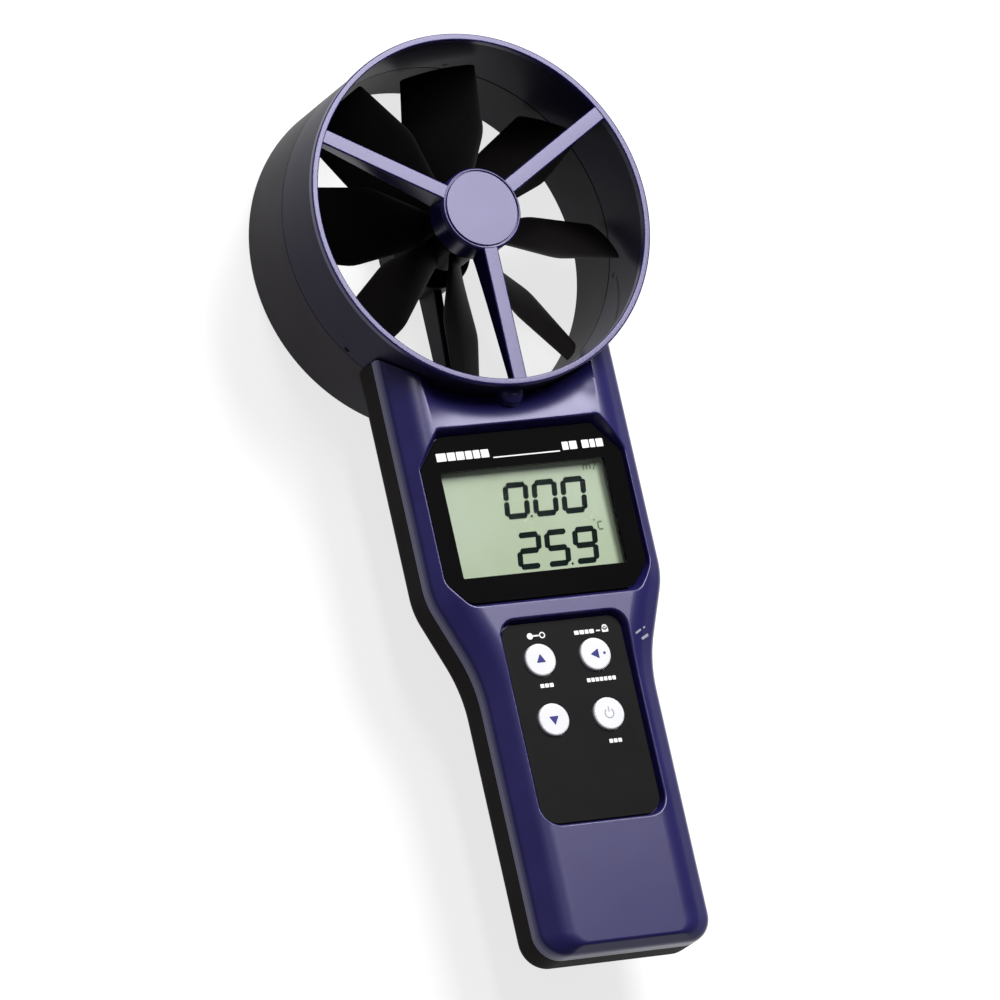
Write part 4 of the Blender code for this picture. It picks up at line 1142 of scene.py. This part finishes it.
# --- details of the ring and back ---
def wall_marks():
    """A row of small near-black dashes on the inside of the ring wall."""
    parts = []
    for k in range(MARKS):
        t = k / (MARKS - 1)
        angle = lerp(*MARK_ANGLES, t)
        height = lerp(*MARK_HEIGHTS, t)
        loops = [[polar(angle, reach, a * 0.55, height + b * 0.42) for a, b in SQUARE]
                 for reach in (BORE_R - 0.08, BORE_R + 0.3)]
        parts.append(skin("mark", loops))
    piece(joined("wall_marks", parts), "blade")


def case_screws():
    """Cross-head screws in the back of the handle."""
    for number, (x, d) in enumerate(CASE_SCREWS, start=1):
        head, under, tip = SCREW_Z
        profile = rounded([(0.0, head), (SCREW_HEAD_R, head), (SCREW_HEAD_R, under),
                           (SCREW_R, under), (SCREW_R, tip), (0.0, tip)],
                          (0, 1.0, 0.1, 0.1, 0.4, 0), (0, 6, 1, 1, 2, 0))
        screw = lathe(f"cross_screw_{number}", profile, x, down(d), 40)
        slots = []
        for along, across in ((1.5, 0.32), (0.32, 1.5)):
            wide = [(x + a * along, down(d) + b * across) for a, b in SQUARE]
            narrow = [(lerp(px, x, 0.45), lerp(py, down(d), 0.45)) for px, py in wide]
            slots.append(loft("slot", ((wide, head - 0.9), (wide, head), (narrow, head + 1.2))))
        cut(screw, *slots)
        soften(screw, 0.06, 1, 40.0)
        piece(screw, "steel", replaces=(f"case_screw_{number}",))


NODE_MATERIALS = {
    "lcd_panel": "lcd", "vane_axle": "steel", "magnet_disc": "steel", "front_bearing": "brass",
    "rear_bearing": "brass", "pickup_board": "board", "hall_sensor": "chip",
    "temperature_probe": "steel", "lcd_holder": "white_plastic",
    "contact_strip": "rubber", "key_mat": "rubber", "main_board": "board",
    "processor_chip": "chip", "buzzer": "chip", "lead_socket": "white_plastic"}
KEPT_GROUPS = (("battery_", "cell"), ("contact_", "steel"), ("board_screw", "steel"))


def inner_nodes():
    """Materials of the CAD pieces that are kept."""
    chosen = {name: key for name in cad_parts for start, key in KEPT_GROUPS
              if name.startswith(start) and name != "battery_door"}
    chosen.update(NODE_MATERIALS)
    for name, key in chosen.items():
        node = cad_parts[name]
        node.data.materials.clear()
        node.data.materials.append(MATERIALS[key])


# --- stage ---
CAMERA_PLACE = (-1.5584, -0.785459, 2.971858)
CAMERA_RIGHT = (0.88636, -0.21434, 0.41040)
CAMERA_UP = (0.09012, 0.94930, 0.30117)
CAMERA_LENS = 432.0
FLOOR_HALF = 6.0
# the floor's glow, strongest near the object: painted light that lifts the object's shadow off the
# floor; (near, far) distance from the origin in metres, and the strength at each
GLOW_REACH = (0.3, 1.3)
GLOW = (0.76, 0.22)
WORLD = (0.9, 0.92, 1.0, 1.0)
WORLD_STRENGTH = 0.16
AIM = Vector((0.0, 0.0, 0.03))
WHITE = (1.0, 1.0, 1.0)
# name, place, size along X and across, power, colour
LIGHTS = (("key", (0.41, 0.56, 0.92), (0.40, 0.70), 20.0, (0.98, 0.98, 1.0)),
          ("side", (-0.08, 0.56, 1.0), (0.16, 0.60), 5.0, WHITE),
          ("top", (0.50, 1.10, 0.66), (0.50, 0.50), 7.0, WHITE),
          ("fill", (-1.2, 0.15, 1.05), (0.8, 1.2), 0.8, WHITE))


def turned(place, right, back):
    """The matrix of a camera or a light from its place, its right and its back direction."""
    axes = (right, back.cross(right).normalized(), back)
    return Matrix.Translation(Vector(place)) @ Matrix(axes).transposed().to_4x4()


def camera():
    """The camera at the photograph's viewing angle."""
    data = bpy.data.cameras.new("camera")
    data.sensor_width = 36.0
    data.lens = CAMERA_LENS
    data.clip_start = 0.5
    data.clip_end = 20.0
    obj = placed("camera", data)
    right = Vector(CAMERA_RIGHT).normalized()
    back = right.cross(Vector(CAMERA_UP)).normalized()
    obj.matrix_world = turned(CAMERA_PLACE, right, back)
    bpy.context.scene.camera = obj


def area_light(name, place, size, power, colour):
    """A soft rectangular light that faces the middle of the object."""
    data = bpy.data.lights.new(name, 'AREA')
    data.shape = 'RECTANGLE'
    data.size, data.size_y = size
    data.energy = power
    data.color = colour
    back = (Vector(place) - AIM).normalized()
    right = Vector((0.0, 1.0, 0.0)).cross(back).normalized()
    placed(name, data).matrix_world = turned(place, right, back)


def glowing_floor():
    """A pale matt floor that glows most near the object: painted light that lifts the object's
    shadow.
    """
    mesh = bpy.data.meshes.new("floor")
    mesh.from_pydata([(a * FLOOR_HALF, b * FLOOR_HALF, 0.0) for a, b in SQUARE], [],
                     [(0, 1, 2, 3)])
    floor = placed("floor", mesh)
    shader = Shader("glowing_floor")
    reach = shader.node("ShaderNodeVectorMath")
    reach.operation = 'LENGTH'
    shader.link(shader.place.outputs["Object"], reach.inputs[0])
    shader.drive(
        Base_Color=shader.mix(shader.noise(120.0), (0.22, 0.22, 0.22), (0.24, 0.24, 0.24)),
        Emission_Strength=shader.remap(reach.outputs["Value"], *GLOW, *GLOW_REACH))
    shader.set(Emission_Color=(*WHITE, 1.0), Roughness=0.8, Specular_IOR_Level=0.1)
    mesh.materials.append(shader.material)


def studio():
    """The floor, the soft lights and a dim surround."""
    glowing_floor()
    world = bpy.data.worlds.new("studio")
    world.use_nodes = True
    background = world.node_tree.nodes["Background"]
    background.inputs["Color"].default_value = WORLD
    background.inputs["Strength"].default_value = WORLD_STRENGTH
    bpy.context.scene.world = world
    bpy.context.scene.view_settings.view_transform = 'Standard'
    for light in LIGHTS:
        area_light(*light)


def main():
    """Build every piece, then the stage."""
    front_guard()
    pickup_lead()
    rear_guard()
    impeller()
    cheek_mark(front_shell())
    rear_cover()
    battery_door()
    display()
    readout()
    keypad()
    wall_marks()
    case_screws()
    inner_nodes()
    camera()
    studio()


main()
